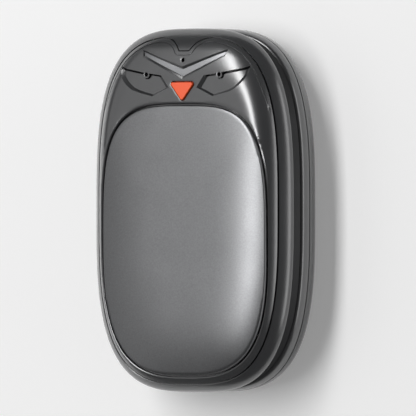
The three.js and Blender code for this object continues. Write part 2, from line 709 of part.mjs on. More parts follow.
// The socket's rounded oblong, as a prism along Y.
function socketPrism(grow, fromY, toY) {
  const w = usb.width / 2 + grow;
  const h = usb.height / 2 + grow;
  const r = h - usb.sideFlat / 2;
  const shape = new THREE.Shape();
  shape.moveTo(w - r, -h);
  shape.absarc(w - r, r - h, r, -Math.PI / 2, 0, false);
  shape.absarc(w - r, h - r, r, 0, Math.PI / 2, false);
  shape.absarc(r - w, h - r, r, Math.PI / 2, Math.PI, false);
  shape.absarc(r - w, r - h, r, Math.PI, (3 * Math.PI) / 2, false);
  shape.closePath();
  return prism(shape, fromY, toY).rotateX(Math.PI / 2).translate(0, fromY + toY, usbZ);
}

// Rear cover: side wall, large rounding, flat back with the opening and its ledge, and the screw ears.
function rearCover() {
  const top = rearLineZ - clearance.seat / 2;
  const rebate = rearLine.tongueInset - clearance.seat;
  const rebateZ = top - rearLine.rebateDepth;
  const outerShares = [0, 0.02, 0.07, 0.16, 0.3, 1];
  const innerShares = [0.35, 0.08];
  const innerBody = insetOutline(body.wall);
  const lipZ = atLip(backZ);
  const inside = (x, y) => backZ(x, y, body.wall);
  const rings = [
    ring(bodyOutline, top),
    ...outerShares.map((share) => ringBetween(bodyOutline, lipOutline, share, (x, y) => backZ(x, y))),
    ring(lipOutline, (x, y, angle) => lipZ(x, y, angle) + seatDepth),
    ring(ledgeOutline, (x, y, angle) => lipZ(x, y, angle) + seatDepth),
    ring(ledgeOutline, (x, y, angle) => lipZ(x, y, angle) + seatDepth + ledge.sheet),
    ring(lipOutline, (x, y, angle) => lipZ(x, y, angle) + seatDepth + ledge.sheet),
    ...innerShares.map((share) => ringBetween(innerBody, lipOutline, share, inside)),
    ring(innerBody, rebateZ),
    ring(insetOutline(rebate), rebateZ),
    ring(insetOutline(rebate), top),
  ];
  let cover = solid(hoop(rings));
  for (const [x, y] of screwPlaces) {
    cover = cover.add(solid(pillar(earRadius, screwHeadZ, earTopZ, x, y)));
  }
  const cuts = [];
  for (const [x, y] of screwPlaces) {
    cuts.push(pillar(caseScrew.shankDiameter / 2 + clearance.bore, 0, rearLineZ, x, y));
    const seat = screwHeadZ + caseScrew.headHeight + clearance.seat;
    cuts.push(pillar(caseScrew.headDiameter / 2 + clearance.bore, 0, seat, x, y));
  }
  add('rear_cover', geometryOf(cover.subtract(joined(cuts.map(solid)))), 'casing');
}

// A heating plate, a film or a pad: a sheet that follows the plate's crown between two depths.
function crownedSheet(outline, surface, side, nearDepth, farDepth, edge = 0, angles = stations) {
  const nearShares = [plate.flatShare, 0.75, 0.9];
  const farShares = [0.85, plate.flatShare];
  const centre = superellipse(0, 0, outline.centreY);
  const centreZ = surface(0, outline.centreY);
  const near = (drop) => (x, y) => surface(x, y) - side * (nearDepth + drop);
  const far = (x, y) => surface(x, y) - side * farDepth;
  const rings = [
    ...nearShares.map((share) => ringBetween(centre, outline, share, near(0), angles)),
    ring(outline, near(edge), angles),
    ring(outline, far, angles),
    ...farShares.map((share) => ringBetween(centre, outline, share, far, angles)),
  ];
  const middles = [nearDepth, farDepth].map((depth) => [0, outline.centreY, centreZ - side * depth]);
  return drumOfRings(rings, ...middles);
}

function platesFilmsAndPads() {
  const filmHalfWidth = screwX - columnRadius - clearance.seat - clearance.board;
  const filmHalfLength = plateHalfLength - film.endInset;
  const sensorY = (plateCentreY + plateHeadY) / 3;
  const filmOutline = superellipse(filmHalfWidth, filmHalfLength, plateCentreY);
  const padHalfWidth = filmHalfWidth - pad.sideInset;
  const padOutline = superellipse(padHalfWidth, filmHalfLength - pad.endInset, plateCentreY);
  const filmNear = plate.sheet + clearance.film;
  const padNear = filmNear + film.sheet + clearance.board;
  const fewer = stations.filter((angle, i) => i % sheetStride === 0);
  const ends = [
    ['front', frontPlateZ, 1, pad.frontSheet],
    ['rear', rearPlateZ, -1, pad.rearSheet],
  ];
  for (const [end, surface, side, sheet] of ends) {
    const pressed = crownedSheet(plateOutline(), surface, side, 0, plate.sheet, plate.edgeRound);
    add(`${end}_heat_plate`, pressed, 'plate');
    const filmFar = filmNear + film.sheet;
    const foil = crownedSheet(filmOutline, surface, side, filmNear, filmFar, 0, fewer);
    add(`${end}_heater_film`, foil, 'film');
    const slab = solid(crownedSheet(padOutline, surface, side, padNear, padNear + sheet, 0, fewer));
    const seat = surface(0, sensorY) - side * padNear;
    const grow = 2 * sensor.pocket;
    const low = seat - sheet - overrun;
    const high = seat + sheet + overrun;
    const pocket = solid(block(sensor.width + grow, sensor.length + grow, low, high, 0, sensorY));
    add(`${end}_foam_pad`, geometryOf(slab.subtract(pocket)), 'foam');
    const bead = new THREE.CapsuleGeometry(sensor.height / 2, sensor.length - sensor.height, 2, 8);
    add(`${end}_thermistor`, bead, 'chip', 0, sensorY, seat - side * sensor.height / 2);
  }
}

// The beak: cap, flange under the cover and stem over the switch, in one moulding.
function beakButton() {
  const flangeFootZ = flangeTopZ - beak.flangeHeight;
  const cap = solid(prism(shapeOf(beakLoop(0)), flangeFootZ, faceCrest + beak.proud));
  const wallY = plateHeadY + ledge.groove + body.wall / 2;
  const room = solid(block(2 * halfWidth, 2 * halfLength, 0, thickness, 0, wallY + halfLength));
  const flange = solid(prism(shapeOf(beakLoop(beak.flange)), flangeFootZ, flangeTopZ)).intersect(room);
  const stemTopZ = flangeTopZ - beak.flangeHeight / 2;
  const stem = solid(pillar(beak.stemDiameter / 2, plungerTopZ + beak.play, stemTopZ, 0, tactY));
  add('beak_button', geometryOf(cap.add(flange).add(stem)), 'beak');
}

// The switch under the beak, with the plunger that the stem pushes down.
function tactSwitch() {
  const foot = boardTopZ + clearance.board;
  const wellRadius = tact.plungerDiameter / 2 + clearance.seat;
  const plungerFoot = plungerTopZ - tact.plungerHeight;
  const well = solid(pillar(wellRadius, plungerFoot - beak.travel - clearance.seat, plungerTopZ, 0, 0));
  const housing = solid(block(tact.width, tact.width, foot, foot + tact.height, 0, 0));
  add('tact_switch_body', geometryOf(housing.subtract(well)), 'chip', 0, tactY);
  const plunger = new THREE.CylinderGeometry(tact.plungerDiameter / 2, tact.plungerDiameter / 2,
    tact.plungerHeight, screwSides).rotateX(Math.PI / 2);
  add('tact_plunger', plunger, 'socket', 0, tactY, plungerTopZ - tact.plungerHeight / 2);
}

// The light pipes: a thin tip in the pinhole, a flange under the cover, and a body down to the lamp.
function lampsAndPipes() {
  const lampTop = boardTopZ + clearance.board + statusLamp.height;
  for (const [name, [x, y]] of Object.entries(lampPlaces)) {
    const lowest = domeZ(x + Math.sign(x) * pipe.flangeDiameter, y + pipe.flangeDiameter);
    const under = lowest - body.wall - clearance.seat;
    const foot = lampTop + clearance.board;
    const flangeFoot = under - pipe.flangeHeight;
    const tip = domeZ(x, y) - pipe.below;
    const profile = [
      [0, foot], [statusLamp.depth / 2, foot], [statusLamp.depth / 2, flangeFoot],
      [pipe.flangeDiameter / 2, flangeFoot], [pipe.flangeDiameter / 2, under],
      [pipe.diameter / 2, under], [pipe.diameter / 2, tip], [0, tip],
    ].map(([r, z]) => new THREE.Vector2(r, z));
    const turned = new THREE.LatheGeometry(profile, 8).rotateX(Math.PI / 2);
    add(name, geometryOf(solid(turned)), 'clear', x, y);
    const lampName = name.replace('light_pipe', 'status_lamp');
    const lamp = new THREE.BoxGeometry(statusLamp.width, statusLamp.depth, statusLamp.height);
    add(lampName, lamp, 'lamp', x, y, lampTop - statusLamp.height / 2);
  }
}

// The main board follows the head's inside and is screwed up to the cover's posts.
function mainBoard() {
  const outline = insetOutline(rimInset + board.edgeInset);
  const around = stations.map((angle) => outlinePoint(outline, angle));
  const edge = around.filter(([, y]) => y > boardFootY);
  const corner = reachAt(outline.a, outline.b, boardFootY);
  const loop = [[corner, boardFootY], ...edge, [-corner, boardFootY]];
  let sheet = solid(prism(shapeOf(loop), boardTopZ - board.sheet, boardTopZ));
  const bore = boardScrew.shankDiameter / 2 + clearance.bore;
  for (const [x, y] of boardPostPlaces) {
    sheet = sheet.subtract(solid(pillar(bore, 0, thickness, x, y)));
  }
  add('main_board', geometryOf(sheet), 'board');

  const partFoot = boardTopZ + clearance.board;
  const chip = new THREE.BoxGeometry(controlChip.width, controlChip.depth, controlChip.height);
  add('control_chip', chip, 'chip', -controlChip.fromMiddle, boardFootY + controlChip.fromFoot,
    partFoot + controlChip.height / 2);
  const coil = pillar(inductor.diameter / 2, 0, inductor.height, 0, 0);
  add('power_inductor', coil, 'cradle', inductor.fromMiddle, boardFootY + inductor.fromFoot, partFoot);
  const socket = new THREE.BoxGeometry(batterySocket.width, batterySocket.depth, batterySocket.height);
  const socketZ = boardTopZ - board.sheet - clearance.board - batterySocket.height / 2;
  add('battery_socket', socket, 'socket', socketX, boardFootY + batterySocket.fromFoot, socketZ);
}

// A screw: a round head with a driver slot and a plain shank, standing on its head at the origin.
function screwSolid(screw, shankLength) {
  const head = solid(pillar(screw.headDiameter / 2, 0, screw.headHeight, 0, 0));
  const tip = screw.headHeight + shankLength;
  const shank = solid(pillar(screw.shankDiameter / 2, screw.headHeight / 2, tip, 0, 0, shankSides));
  const { slotWidth, slotDepth } = caseScrew;
  const slot = solid(block(screw.headDiameter + overrun, slotWidth, -slotDepth, slotDepth, 0, 0));
  return geometryOf(head.add(shank).subtract(slot));
}

function screws() {
  screwPlaces.forEach(([x, y], i) => {
    add(`case_screw_${i + 1}`, screwSolid(caseScrew, caseScrewLength), 'steel', x, y, screwHeadZ);
  });
  const headFootZ = boardTopZ - board.sheet - clearance.board - boardScrew.headHeight;
  boardPostPlaces.forEach(([x, y], i) => {
    const screw = screwSolid(boardScrew, boardScrew.length);
    add(`board_screw_${i + 1}`, screw, 'steel', x, y, headFootZ);
  });
  const headTopZ = usbZ - usb.height / 2 + boardScrew.headHeight;
  [-chargePostX, chargePostX].forEach((x, i) => {
    const screw = screwSolid(boardScrew, boardScrew.length).rotateX(Math.PI);
    add(`charge_board_screw_${i + 1}`, screw, 'steel', x, chargeBoardY, headTopZ);
  });
}

// The charge board with the charging socket, its tongue and the charge chip.
function chargeParts() {
  const top = usbZ - usb.height / 2 - clearance.board;
  const y = chargeBoardY;
  const depth = chargeBoardHeadY - chargeBoardFootY;
  let sheet = solid(block(chargeBoardWidth, depth, top - chargeBoard.sheet, top, 0, y));
  const bore = boardScrew.shankDiameter / 2 + clearance.bore;
  for (const x of [-chargePostX, chargePostX]) {
    sheet = sheet.subtract(solid(pillar(bore, 0, thickness, x, y)));
  }
  add('charge_board', geometryOf(sheet), 'board');

  const backY = socketFaceY + usb.depth;
  const hollow = solid(socketPrism(-usb.wall, socketFaceY - overrun, backY - usb.wall));
  add('usb_c_socket', geometryOf(solid(socketPrism(0, socketFaceY, backY)).subtract(hollow)), 'steel');
  const baseHalf = usb.baseHeight / 2;
  const bladeHalf = usb.tongueHeight / 2;
  const bladeDepth = usb.baseDepth + usb.tongueDepth;
  const base = solid(block(usb.baseWidth, usb.baseDepth, -baseHalf, baseHalf, 0, -usb.baseDepth / 2));
  const blade = solid(block(usb.tongueWidth, bladeDepth, -bladeHalf, bladeHalf, 0, -bladeDepth / 2));
  add('usb_c_tongue', geometryOf(base.add(blade)), 'chip', 0, backY - usb.wall - clearance.board, usbZ);
  const chip = new THREE.BoxGeometry(chargeChip.width, chargeChip.depth, chargeChip.height);
  const chipX = (usb.width / 2 + chargePostX - boardScrew.headDiameter / 2) / 2;
  add('charge_chip', chip, 'chip', chipX, y, top + clearance.board + chargeChip.height / 2);
}

// Two cells with their raised contact, in a cradle of ribs between two rails, joined by end strips.
function batteryPack() {
  const radius = cell.diameter / 2;
  for (const [name, side] of [['battery_cell_left', -1], ['battery_cell_right', 1]]) {
    const shoulder = cell.length - cell.buttonHeight;
    const profile = [
      [0, 0], [radius, 0], [radius, shoulder],
      [cell.button / 2, shoulder], [cell.button / 2, cell.length], [0, cell.length],
    ].map(([r, h]) => new THREE.Vector2(r, h));
    const can = geometryOf(solid(new THREE.LatheGeometry(profile, cellSides)));
    add(name, can, 'cell', (side * cellPitch) / 2, cellFootY, cellZ);
  }
  const midY = (cellFootY + cellHeadY) / 2;
  const seatRadius = radius + clearance.cell;
  const reach = cellPitch / 2 + seatRadius;
  const railLength = cell.length - 2 * cradle.endMargin;
  const ribs = [-1, 0, 1].map((place) => {
    const y = midY + (place * (railLength - cradle.rib)) / 2;
    return solid(block(2 * (reach + cradle.railWidth), cradle.rib, cradleFoot, cellZ, 0, y));
  });
  const railX = reach + cradle.railWidth / 2;
  const railFoot = cellZ - cradle.railHeight;
  const rails = [-railX, railX].map(
    (x) => solid(block(cradle.railWidth, railLength, railFoot, cellZ, x, midY)),
  );
  const bores = [-1, 1].map((side) => {
    const bore = new THREE.CylinderGeometry(seatRadius, seatRadius, cell.length, cellSides);
    return solid(bore.translate((side * cellPitch) / 2, midY, cellZ));
  });
  add('battery_cradle', geometryOf(joined([...ribs, ...rails]).subtract(joined(bores))), 'cradle');
  const stripWidth = cellPitch + cell.button + 2 * strip.overlap;
  const stripOut = clearance.board + strip.sheet / 2;
  for (const [name, y] of [['head', cellHeadY + stripOut], ['foot', cellFootY - stripOut]]) {
    const contactStrip = new THREE.BoxGeometry(stripWidth, strip.sheet, strip.height);
    add(`nickel_strip_${name}`, contactStrip, 'nickel', 0, y, cellZ);
  }
  const fuseRadius = fuse.diameter / 2;
  const fuseDrop = Math.sqrt((seatRadius + fuseRadius) ** 2 - (cellPitch / 2) ** 2);
  const capsule = new THREE.CylinderGeometry(fuseRadius, fuseRadius, fuse.length, screwSides);
  add('thermal_fuse', capsule, 'socket', 0, midY + railLength / 4, cellZ - fuseDrop);
}

// A wire's route: straight runs with rounded bends.
function route(places) {
  const points = places.map((place) => new THREE.Vector3(...place));
  const path = new THREE.CurvePath();
  let start = points[0];
  for (let i = 1; i < points.length - 1; i++) {
    const before = points[i - 1].clone().sub(points[i]).setLength(wire.bend).add(points[i]);
    const after = points[i + 1].clone().sub(points[i]).setLength(wire.bend).add(points[i]);
    path.add(new THREE.LineCurve3(start, before));
    path.add(new THREE.QuadraticBezierCurve3(before, points[i], after));
    start = after;
  }
  path.add(new THREE.LineCurve3(start, points.at(-1)));
  return path;
}

// The two leads from the end strips to the board, and the ribbon between the boards.
function leads() {
  const section = new THREE.Shape();
  section.absarc(0, 0, wire.diameter / 2, 0, 2 * Math.PI, false);
  const tube = (places, steps) => new THREE.ExtrudeGeometry(section, {
    steps, extrudePath: route(places), curveSegments: wire.arcs,
  });
  const half = wire.diameter / 2;
  const offStrip = 2 * clearance.board + strip.sheet + half;
  const headY = cellHeadY + offStrip;
  const footY = cellFootY - offStrip;
  const valley = Math.sqrt((cell.diameter / 2) ** 2 - ((cellPitch - ribbon.width) / 2) ** 2);
  const ribbonZ = cellZ + Math.max(valley, strip.height / 2) + clearance.seat + ribbon.sheet / 2;
  const wireZ = ribbonZ + ribbon.sheet / 2 + clearance.seat + half;
  const socketFace = boardFootY + batterySocket.fromFoot - batterySocket.depth / 2 - clearance.board;
  const socketZ = boardTopZ - board.sheet - clearance.board - batterySocket.height / 2;
  const redX = socketX - batterySocket.width / 4;
  const blackX = socketX + batterySocket.width / 4;
  add('battery_lead_red', tube([
    [redX, headY, cellZ - strip.height / 4], [redX, headY, socketZ], [redX, socketFace, socketZ],
  ], Math.ceil(wire.steps / 3)), 'red');
  add('battery_lead_black', tube([
    [wire.footX, footY, cellZ], [wire.footX, footY, wireZ], [0, footY, wireZ],
    [0, headY, wireZ], [blackX, headY, wireZ], [blackX, headY, socketZ], [blackX, socketFace, socketZ],
  ], wire.steps), 'black');

  const boardTop = usbZ - usb.height / 2;
  const backY = socketFaceY + usb.depth + clearance.seat;
  const riseY = backY + ribbon.start;
  const t = ribbon.sheet;
  const side = [
    [backY, boardTop], [riseY + t, boardTop], [riseY + t, ribbonZ - t / 2],
    [boardFootY - clearance.seat, ribbonZ - t / 2], [boardFootY - clearance.seat, ribbonZ + t / 2],
    [riseY, ribbonZ + t / 2], [riseY, boardTop + t], [backY, boardTop + t],
  ];
  const strap = new THREE.ExtrudeGeometry(shapeOf(side), { depth: ribbon.width, bevelEnabled: false });
  strap.rotateY(Math.PI / 2).rotateX(Math.PI / 2).translate(-ribbon.width / 2, 0, 0);
  add('board_link_ribbon', strap, 'ribbon');
}

frontCover();
browTrim();
frontFrame();
middleHousing();
rearCover();
platesFilmsAndPads();
beakButton();
tactSwitch();
lampsAndPipes();
mainBoard();
chargeParts();
batteryPack();
leads();
screws();

export default warmer;
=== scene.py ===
import json
import math

import bmesh
import bpy
import numpy as np
from mathutils import Matrix, Vector
from mathutils.geometry import delaunay_2d_cdt
from mathutils.kdtree import KDTree


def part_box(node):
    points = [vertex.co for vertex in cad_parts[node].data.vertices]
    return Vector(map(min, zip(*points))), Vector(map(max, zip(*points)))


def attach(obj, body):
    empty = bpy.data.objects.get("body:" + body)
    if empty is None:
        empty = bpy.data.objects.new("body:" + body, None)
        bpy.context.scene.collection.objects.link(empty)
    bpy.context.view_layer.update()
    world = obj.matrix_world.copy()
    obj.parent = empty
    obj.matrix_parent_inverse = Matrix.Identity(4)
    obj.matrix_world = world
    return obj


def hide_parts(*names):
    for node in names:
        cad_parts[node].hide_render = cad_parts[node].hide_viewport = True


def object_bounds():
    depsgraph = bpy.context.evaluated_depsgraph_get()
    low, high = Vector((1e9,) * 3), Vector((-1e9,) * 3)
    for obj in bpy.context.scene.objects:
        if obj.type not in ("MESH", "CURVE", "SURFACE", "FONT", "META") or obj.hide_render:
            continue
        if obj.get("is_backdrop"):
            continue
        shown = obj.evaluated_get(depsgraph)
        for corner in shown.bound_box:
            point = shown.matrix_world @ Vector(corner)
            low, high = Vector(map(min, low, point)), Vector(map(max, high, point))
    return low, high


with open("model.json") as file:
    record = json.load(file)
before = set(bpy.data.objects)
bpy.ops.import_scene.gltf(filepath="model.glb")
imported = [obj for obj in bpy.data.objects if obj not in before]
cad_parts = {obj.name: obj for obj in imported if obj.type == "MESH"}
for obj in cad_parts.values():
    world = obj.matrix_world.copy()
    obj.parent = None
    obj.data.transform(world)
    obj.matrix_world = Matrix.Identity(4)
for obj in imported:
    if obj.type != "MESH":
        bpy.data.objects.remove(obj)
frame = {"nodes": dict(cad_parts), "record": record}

cad_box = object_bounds()
nodes = frame["nodes"]

# The camera stands far off to the right of the hand warmer, which lies on its back, and looks down
# on its front. A long lens keeps the outlines as parallel as the photograph shows them.
camera_turn = math.radians(30)
camera_distance = 5.0
photo_width_px = 416
px_per_metre = 3466.7
aim = Vector((0.00642, 0.00066, 0.0227))

camera_data = bpy.data.cameras.new("camera")
camera_data.sensor_width = 36
camera_data.lens = px_per_metre * camera_data.sensor_width * camera_distance / photo_width_px
camera_data.clip_start = 0.1
camera_data.clip_end = 50
camera = bpy.data.objects.new("camera", camera_data)
bpy.context.scene.collection.objects.link(camera)
camera.location = aim + camera_distance * Vector((math.sin(camera_turn), 0, math.cos(camera_turn)))
camera.rotation_euler = (0, camera_turn, 0)
bpy.context.scene.camera = camera


# Rear cover. The real piece is an injection-moulded shell of dark satin plastic: a large rounding
# from its side wall to a flat back, with an opening for the rear heating plate. Screws through its
# inner ears hold all the shells together, under the plate. Lengths are in millimetres from here on.
millimetre = 0.001
full_turn = 2 * math.pi
quarter_turn = math.pi / 2
half_width = 32.75
half_length = 52.5
body_power = 3.15
wall = 1.8
rear_radius = 7.8
plate_proud = 0.6
rear_line_height = 9.6
seam_gap = 0.3
edge_break = 0.12
tongue_inset = 0.9
rebate_depth = 1.2
plate_half_width = 27.1
plate_half_length = 39.0
plate_centre_y = -8.7
plate_head_power = 3.48
plate_foot_power = 2.98
plate_sheet = 1.2
plate_groove = 0.3
ledge_width = 2.0
ledge_sheet = 1.2
lip_round = 0.3
station_count = 560
corner_reach = 22.0
moulding_crease = math.radians(17)


def body_inset(side, end=None):
    """The body's outline moved inwards: half axes, centre, and the powers of its head and foot half."""
    return half_width - side, half_length - (side if end is None else end), 0.0, body_power, body_power


def plate_outline(inset=0.0):
    half_axes = plate_half_width - inset, plate_half_length - inset
    return (*half_axes, plate_centre_y, plate_head_power, plate_foot_power)


def outline_points(outline, angles):
    a, b, centre_y, head_power, foot_power = outline
    c, s = np.cos(angles), np.sin(angles)
    power = np.where(s >= 0, head_power, foot_power)
    x = a * np.sign(c) * np.abs(c) ** (2 / power)
    y = centre_y + b * np.sign(s) * np.abs(s) ** (2 / power)
    return np.stack([x, y], axis=1)


def even_angles(outline, count, fine_steps=40001):
    """Angles that divide an outline evenly, closer together where it turns a corner."""
    fine = np.linspace(0, full_turn, fine_steps)
    steps = np.diff(outline_points(outline, fine), axis=0)
    heading = np.unwrap(np.arctan2(steps[:, 1], steps[:, 0]))
    turn = np.abs(np.diff(heading, append=heading[-1]))
    run = np.concatenate([[0], np.cumsum(np.hypot(steps[:, 0], steps[:, 1]) + corner_reach * turn)])
    return np.interp(np.linspace(0, run[-1], count, endpoint=False), run, fine)


def shares_in(outline, x, y):
    """A point's distances from an outline's axes, as shares of its half axes, and the power there."""
    a, b, centre_y, head_power, foot_power = outline
    dy = y - centre_y
    return np.abs(x / a), np.abs(dy / b), np.where(dy >= 0, head_power, foot_power)


def radius_in(outline, x, y):
    """A point's radius in an outline: 0 at its centre and 1 on the outline itself."""
    across, along, power = shares_in(outline, x, y)
    return (across ** power + along ** power) ** (1 / power)


def inset_in(outline, x, y):
    """How far a point lies inside an outline, measured square to it."""
    across, along, power = shares_in(outline, x, y)
    r = np.maximum(radius_in(outline, x, y), 1e-9)
    slope_x = (across / r) ** (power - 1) / outline[0]
    slope_y = (along / r) ** (power - 1) / outline[1]
    return (1 - r) / np.hypot(slope_x, slope_y)


def ring(xy, height):
    """A ring of points at one height, or at the height of a surface."""
    z = height(*xy.T) if callable(height) else np.broadcast_to(height, len(xy))
    return np.column_stack([xy, z])


def piece_from(name, points, faces, material=None, crease=moulding_crease):
    """A finished piece at the origin, smooth but for its creases."""
    mesh = bpy.data.meshes.new(name)
    mesh.from_pydata((np.asarray(points) * millimetre).tolist(), [], faces)
    mesh.update()
    mesh.shade_smooth()
    mesh.set_sharp_from_angle(angle=crease)
    if material:
        mesh.materials.append(material)
    piece = bpy.data.objects.new(name, mesh)
    bpy.context.scene.collection.objects.link(piece)
    return piece


def facing_out(points, faces):
    """The faces turned so that a closed shell's volume is positive."""
    corners = np.array([(f[0], f[k], f[k + 1]) for f in faces for k in range(1, len(f) - 1)])
    a, b, c = (np.asarray(points)[corners[:, k]] for k in range(3))
    volume = (a * np.cross(b, c)).sum()
    return faces if volume > 0 else [tuple(reversed(face)) for face in faces]


def strips(rows):
    """Quads between neighbouring rows of point numbers, each row a closed loop."""
    faces = []
    for here, there in zip(rows, rows[1:]):
        faces += zip(here, here[1:] + here[:1], there[1:] + there[:1], there)
    return faces


def row_numbers(rings):
    count = len(rings[0])
    return [list(range(j * count, (j + 1) * count)) for j in range(len(rings))]


def hoop(rings):
    """Points and faces of a tube-like shell that runs round an opening."""
    points = np.concatenate(rings)
    rows = row_numbers(rings)
    return points, facing_out(points, strips(rows + rows[:1]))


def between(inner, outer, share):
    return outline_points(inner, stations) * (1 - share) + outline_points(outer, stations) * share


body_outline = body_inset(0)
lip_outline = plate_outline(-plate_groove)
ledge_outline = plate_outline(ledge_width)
stations = even_angles(body_outline, station_count)
lip_share = lip_round / (half_width - plate_half_width)
rear_top = rear_line_height - seam_gap / 2
rebate_inset = tongue_inset - seam_gap
rebate_z = rear_top - rebate_depth


def back_z(x, y, inward=0.0):
    radius = rear_radius - inward
    inset = np.clip(inset_in(body_outline, x, y) - inward, 0, radius)
    return plate_proud + inward + radius - np.sqrt(radius ** 2 - (radius - inset) ** 2)


def back_lip_rings():
    """The opening's rounded lip, its wall and the ledge under the plate, from the surface inwards."""
    rings = []
    for turn in np.linspace(0, quarter_turn, 5)[1:]:
        surface = ring(between(lip_outline, body_outline, lip_share * (1 - math.sin(turn))), back_z)
        rings.append(surface + [0, 0, lip_round * (1 - math.cos(turn))])
    lip, ledge = (outline_points(outline, stations) for outline in (lip_outline, ledge_outline))
    seat = back_z(*lip.T) + plate_sheet + seam_gap
    inside = ((lip, seat), (ledge, seat), (ledge, seat + ledge_sheet), (lip, seat + ledge_sheet))
    return rings + [ring(xy, z) for xy, z in inside]


def body_ring(inset, z):
    return ring(outline_points(body_inset(inset), stations), z)


rear_rings = [
    body_ring(edge_break, rear_top),
    body_ring(0, rear_top - edge_break),
    body_ring(0, (rear_top + plate_proud + rear_radius) / 2),
]
for share in np.linspace(0, 1, 31) ** 1.8 * (1 - lip_share):
    rear_rings.append(ring(between(body_outline, lip_outline, share), back_z))
rear_rings += back_lip_rings()
for share in (0.5, 0.3, 0.12, 0.02):
    inner_xy = between(body_inset(wall), lip_outline, share)
    rear_rings.append(ring(inner_xy, lambda x, y: back_z(x, y, wall)))
rebate = ((wall, rebate_z), (rebate_inset, rebate_z), (rebate_inset, rear_top))
rear_rings += [body_ring(inset, z) for inset, z in rebate]


def set_inputs(node, inputs):
    """Sets a node's inputs: each to a value, or linked to another node's output."""
    for key, value in inputs.items():
        if isinstance(value, bpy.types.NodeSocket):
            node.id_data.links.new(value, node.inputs[key])
        else:
            node.inputs[key].default_value = value
    return node


def add_node(tree, kind, inputs=None, **settings):
    node = tree.nodes.new(kind)
    for name, value in settings.items():
        setattr(node, name, value)
    return set_inputs(node, inputs or {})


def math_node(tree, operation, *values):
    return add_node(tree, "ShaderNodeMath", dict(enumerate(values)), operation=operation).outputs[0]


def tree_socket(tree, name, kind, direction="INPUT"):
    return tree.interface.new_socket(name=name, in_out=direction, socket_type="NodeSocket" + kind)


def moulded_grain():
    """Fine spark-eroded grain of a moulding tool, with faint marks of handling."""
    tree = bpy.data.node_groups.new("moulded_grain", "ShaderNodeTree")
    sizes = {"Grain Size": 0.00022, "Depth": 0.12, "Roughness": 0.4, "Roughness Spread": 0.06}
    for name, value in sizes.items():
        tree_socket(tree, name, "Float").default_value = value
    for name, kind in (("Normal", "Vector"), ("Roughness", "Float"), ("Mottle", "Float")):
        tree_socket(tree, name, kind, "OUTPUT")
    given = tree.nodes.new("NodeGroupInput").outputs
    place = tree.nodes.new("ShaderNodeTexCoord").outputs["Object"]
    frequency = math_node(tree, "DIVIDE", 1.0, given["Grain Size"])
    grain = add_node(tree, "ShaderNodeTexNoise", {"Vector": place, "Scale": frequency, "Detail": 2.0})
    relief = {"Distance": 0.00003, "Strength": given["Depth"], "Height": grain.outputs["Fac"]}
    normal = add_node(tree, "ShaderNodeBump", relief).outputs["Normal"]
    marks = add_node(tree, "ShaderNodeTexNoise", {"Vector": place, "Scale": 140.0, "Detail": 4.0})
    mottle = marks.outputs["Fac"]
    spread = math_node(tree, "SUBTRACT", mottle, 0.5)
    uneven = math_node(tree, "MULTIPLY_ADD", spread, given["Roughness Spread"], given["Roughness"])
    add_node(tree, "NodeGroupOutput", {"Normal": normal, "Roughness": uneven, "Mottle": mottle})
    return tree


grain_group = moulded_grain()


def new_material(name):
    material = bpy.data.materials.new(name)
    material.use_nodes = True
    return material, material.node_tree, material.node_tree.nodes["Principled BSDF"]


def grained_material(name, dark, light, roughness, grain_size, depth, constants, speckled=False):
    """Two shades of a colour under the grain, mixed by the handling marks or by a fine speckle."""
    material, tree, shader = new_material(name)
    sizes = {"Grain Size": grain_size, "Depth": depth, "Roughness": roughness}
    grain = add_node(tree, "ShaderNodeGroup", sizes, node_tree=grain_group).outputs
    mask = grain["Mottle"]
    if speckled:
        place = tree.nodes.new("ShaderNodeTexCoord").outputs["Object"]
        noise = {"Vector": place, "Scale": 1 / grain_size, "Detail": 1.0}
        mask = add_node(tree, "ShaderNodeTexNoise", noise).outputs["Fac"]
    shades = {"A": (*dark, 1), "B": (*light, 1), "Factor": mask}
    colour = add_node(tree, "ShaderNodeMix", shades, data_type="RGBA").outputs["Result"]
    set_inputs(shader, {"Base Color": colour, "Roughness": grain["Roughness"], "Normal": grain["Normal"]})
    set_inputs(shader, constants)
    return material


def moulded_plastic(name, dark, light, roughness, grain_size=0.00022, depth=0.12, metallic=0.0, coat=0.0):
    """Moulded plastic. A lacquered one has fine metal flakes in its colour and a clear coat."""
    constants = {"Metallic": metallic, "Coat Weight": coat, "Coat Roughness": 0.22, "Coat IOR": 1.8}
    return grained_material(name, dark, light, roughness, grain_size, depth, constants)


casing_plastic = moulded_plastic(
    "casing_plastic", (0.036, 0.037, 0.039), (0.045, 0.046, 0.049), 0.3, 0.0002, 0.07, metallic=0.3, coat=1.0
)
rear_cover = piece_from("rear_cover_moulding", *hoop(rear_rings), casing_plastic)
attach(rear_cover, "case")
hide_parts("rear_cover")


# Rear and front heating plates. Each is one pressed sheet of aluminium, blasted to a fine matt and
# anodised dark grey, softly crowned so that it fills the palm. Its rim lies on the cover's ledge.
plate_edge_round = 0.45
plate_edge_step = 0.05
plate_crown_power = 4.8
plate_face_radii = [0.04, 0.12, 0.2, *np.linspace(0.28, 0.97, 30), 0.985, 0.993, 1.0]
plate_back_radii = [1.0, 0.97, 0.9, 0.8, 0.65, 0.5, 0.3, 0.04]
thickness = 27.0
front_crest = thickness - plate_proud
front_line_drop = 3.55
front_line_side = 2.9
front_line_end = 2.35
front_line_outline = body_inset(front_line_side, front_line_end)
dome_start_share = 0.76
dome_power = 3.1


def dome_z(x, y):
    share = (radius_in(front_line_outline, x, y) - dome_start_share) / (1 - dome_start_share)
    return front_crest - front_line_drop * np.maximum(share, 0) ** dome_power


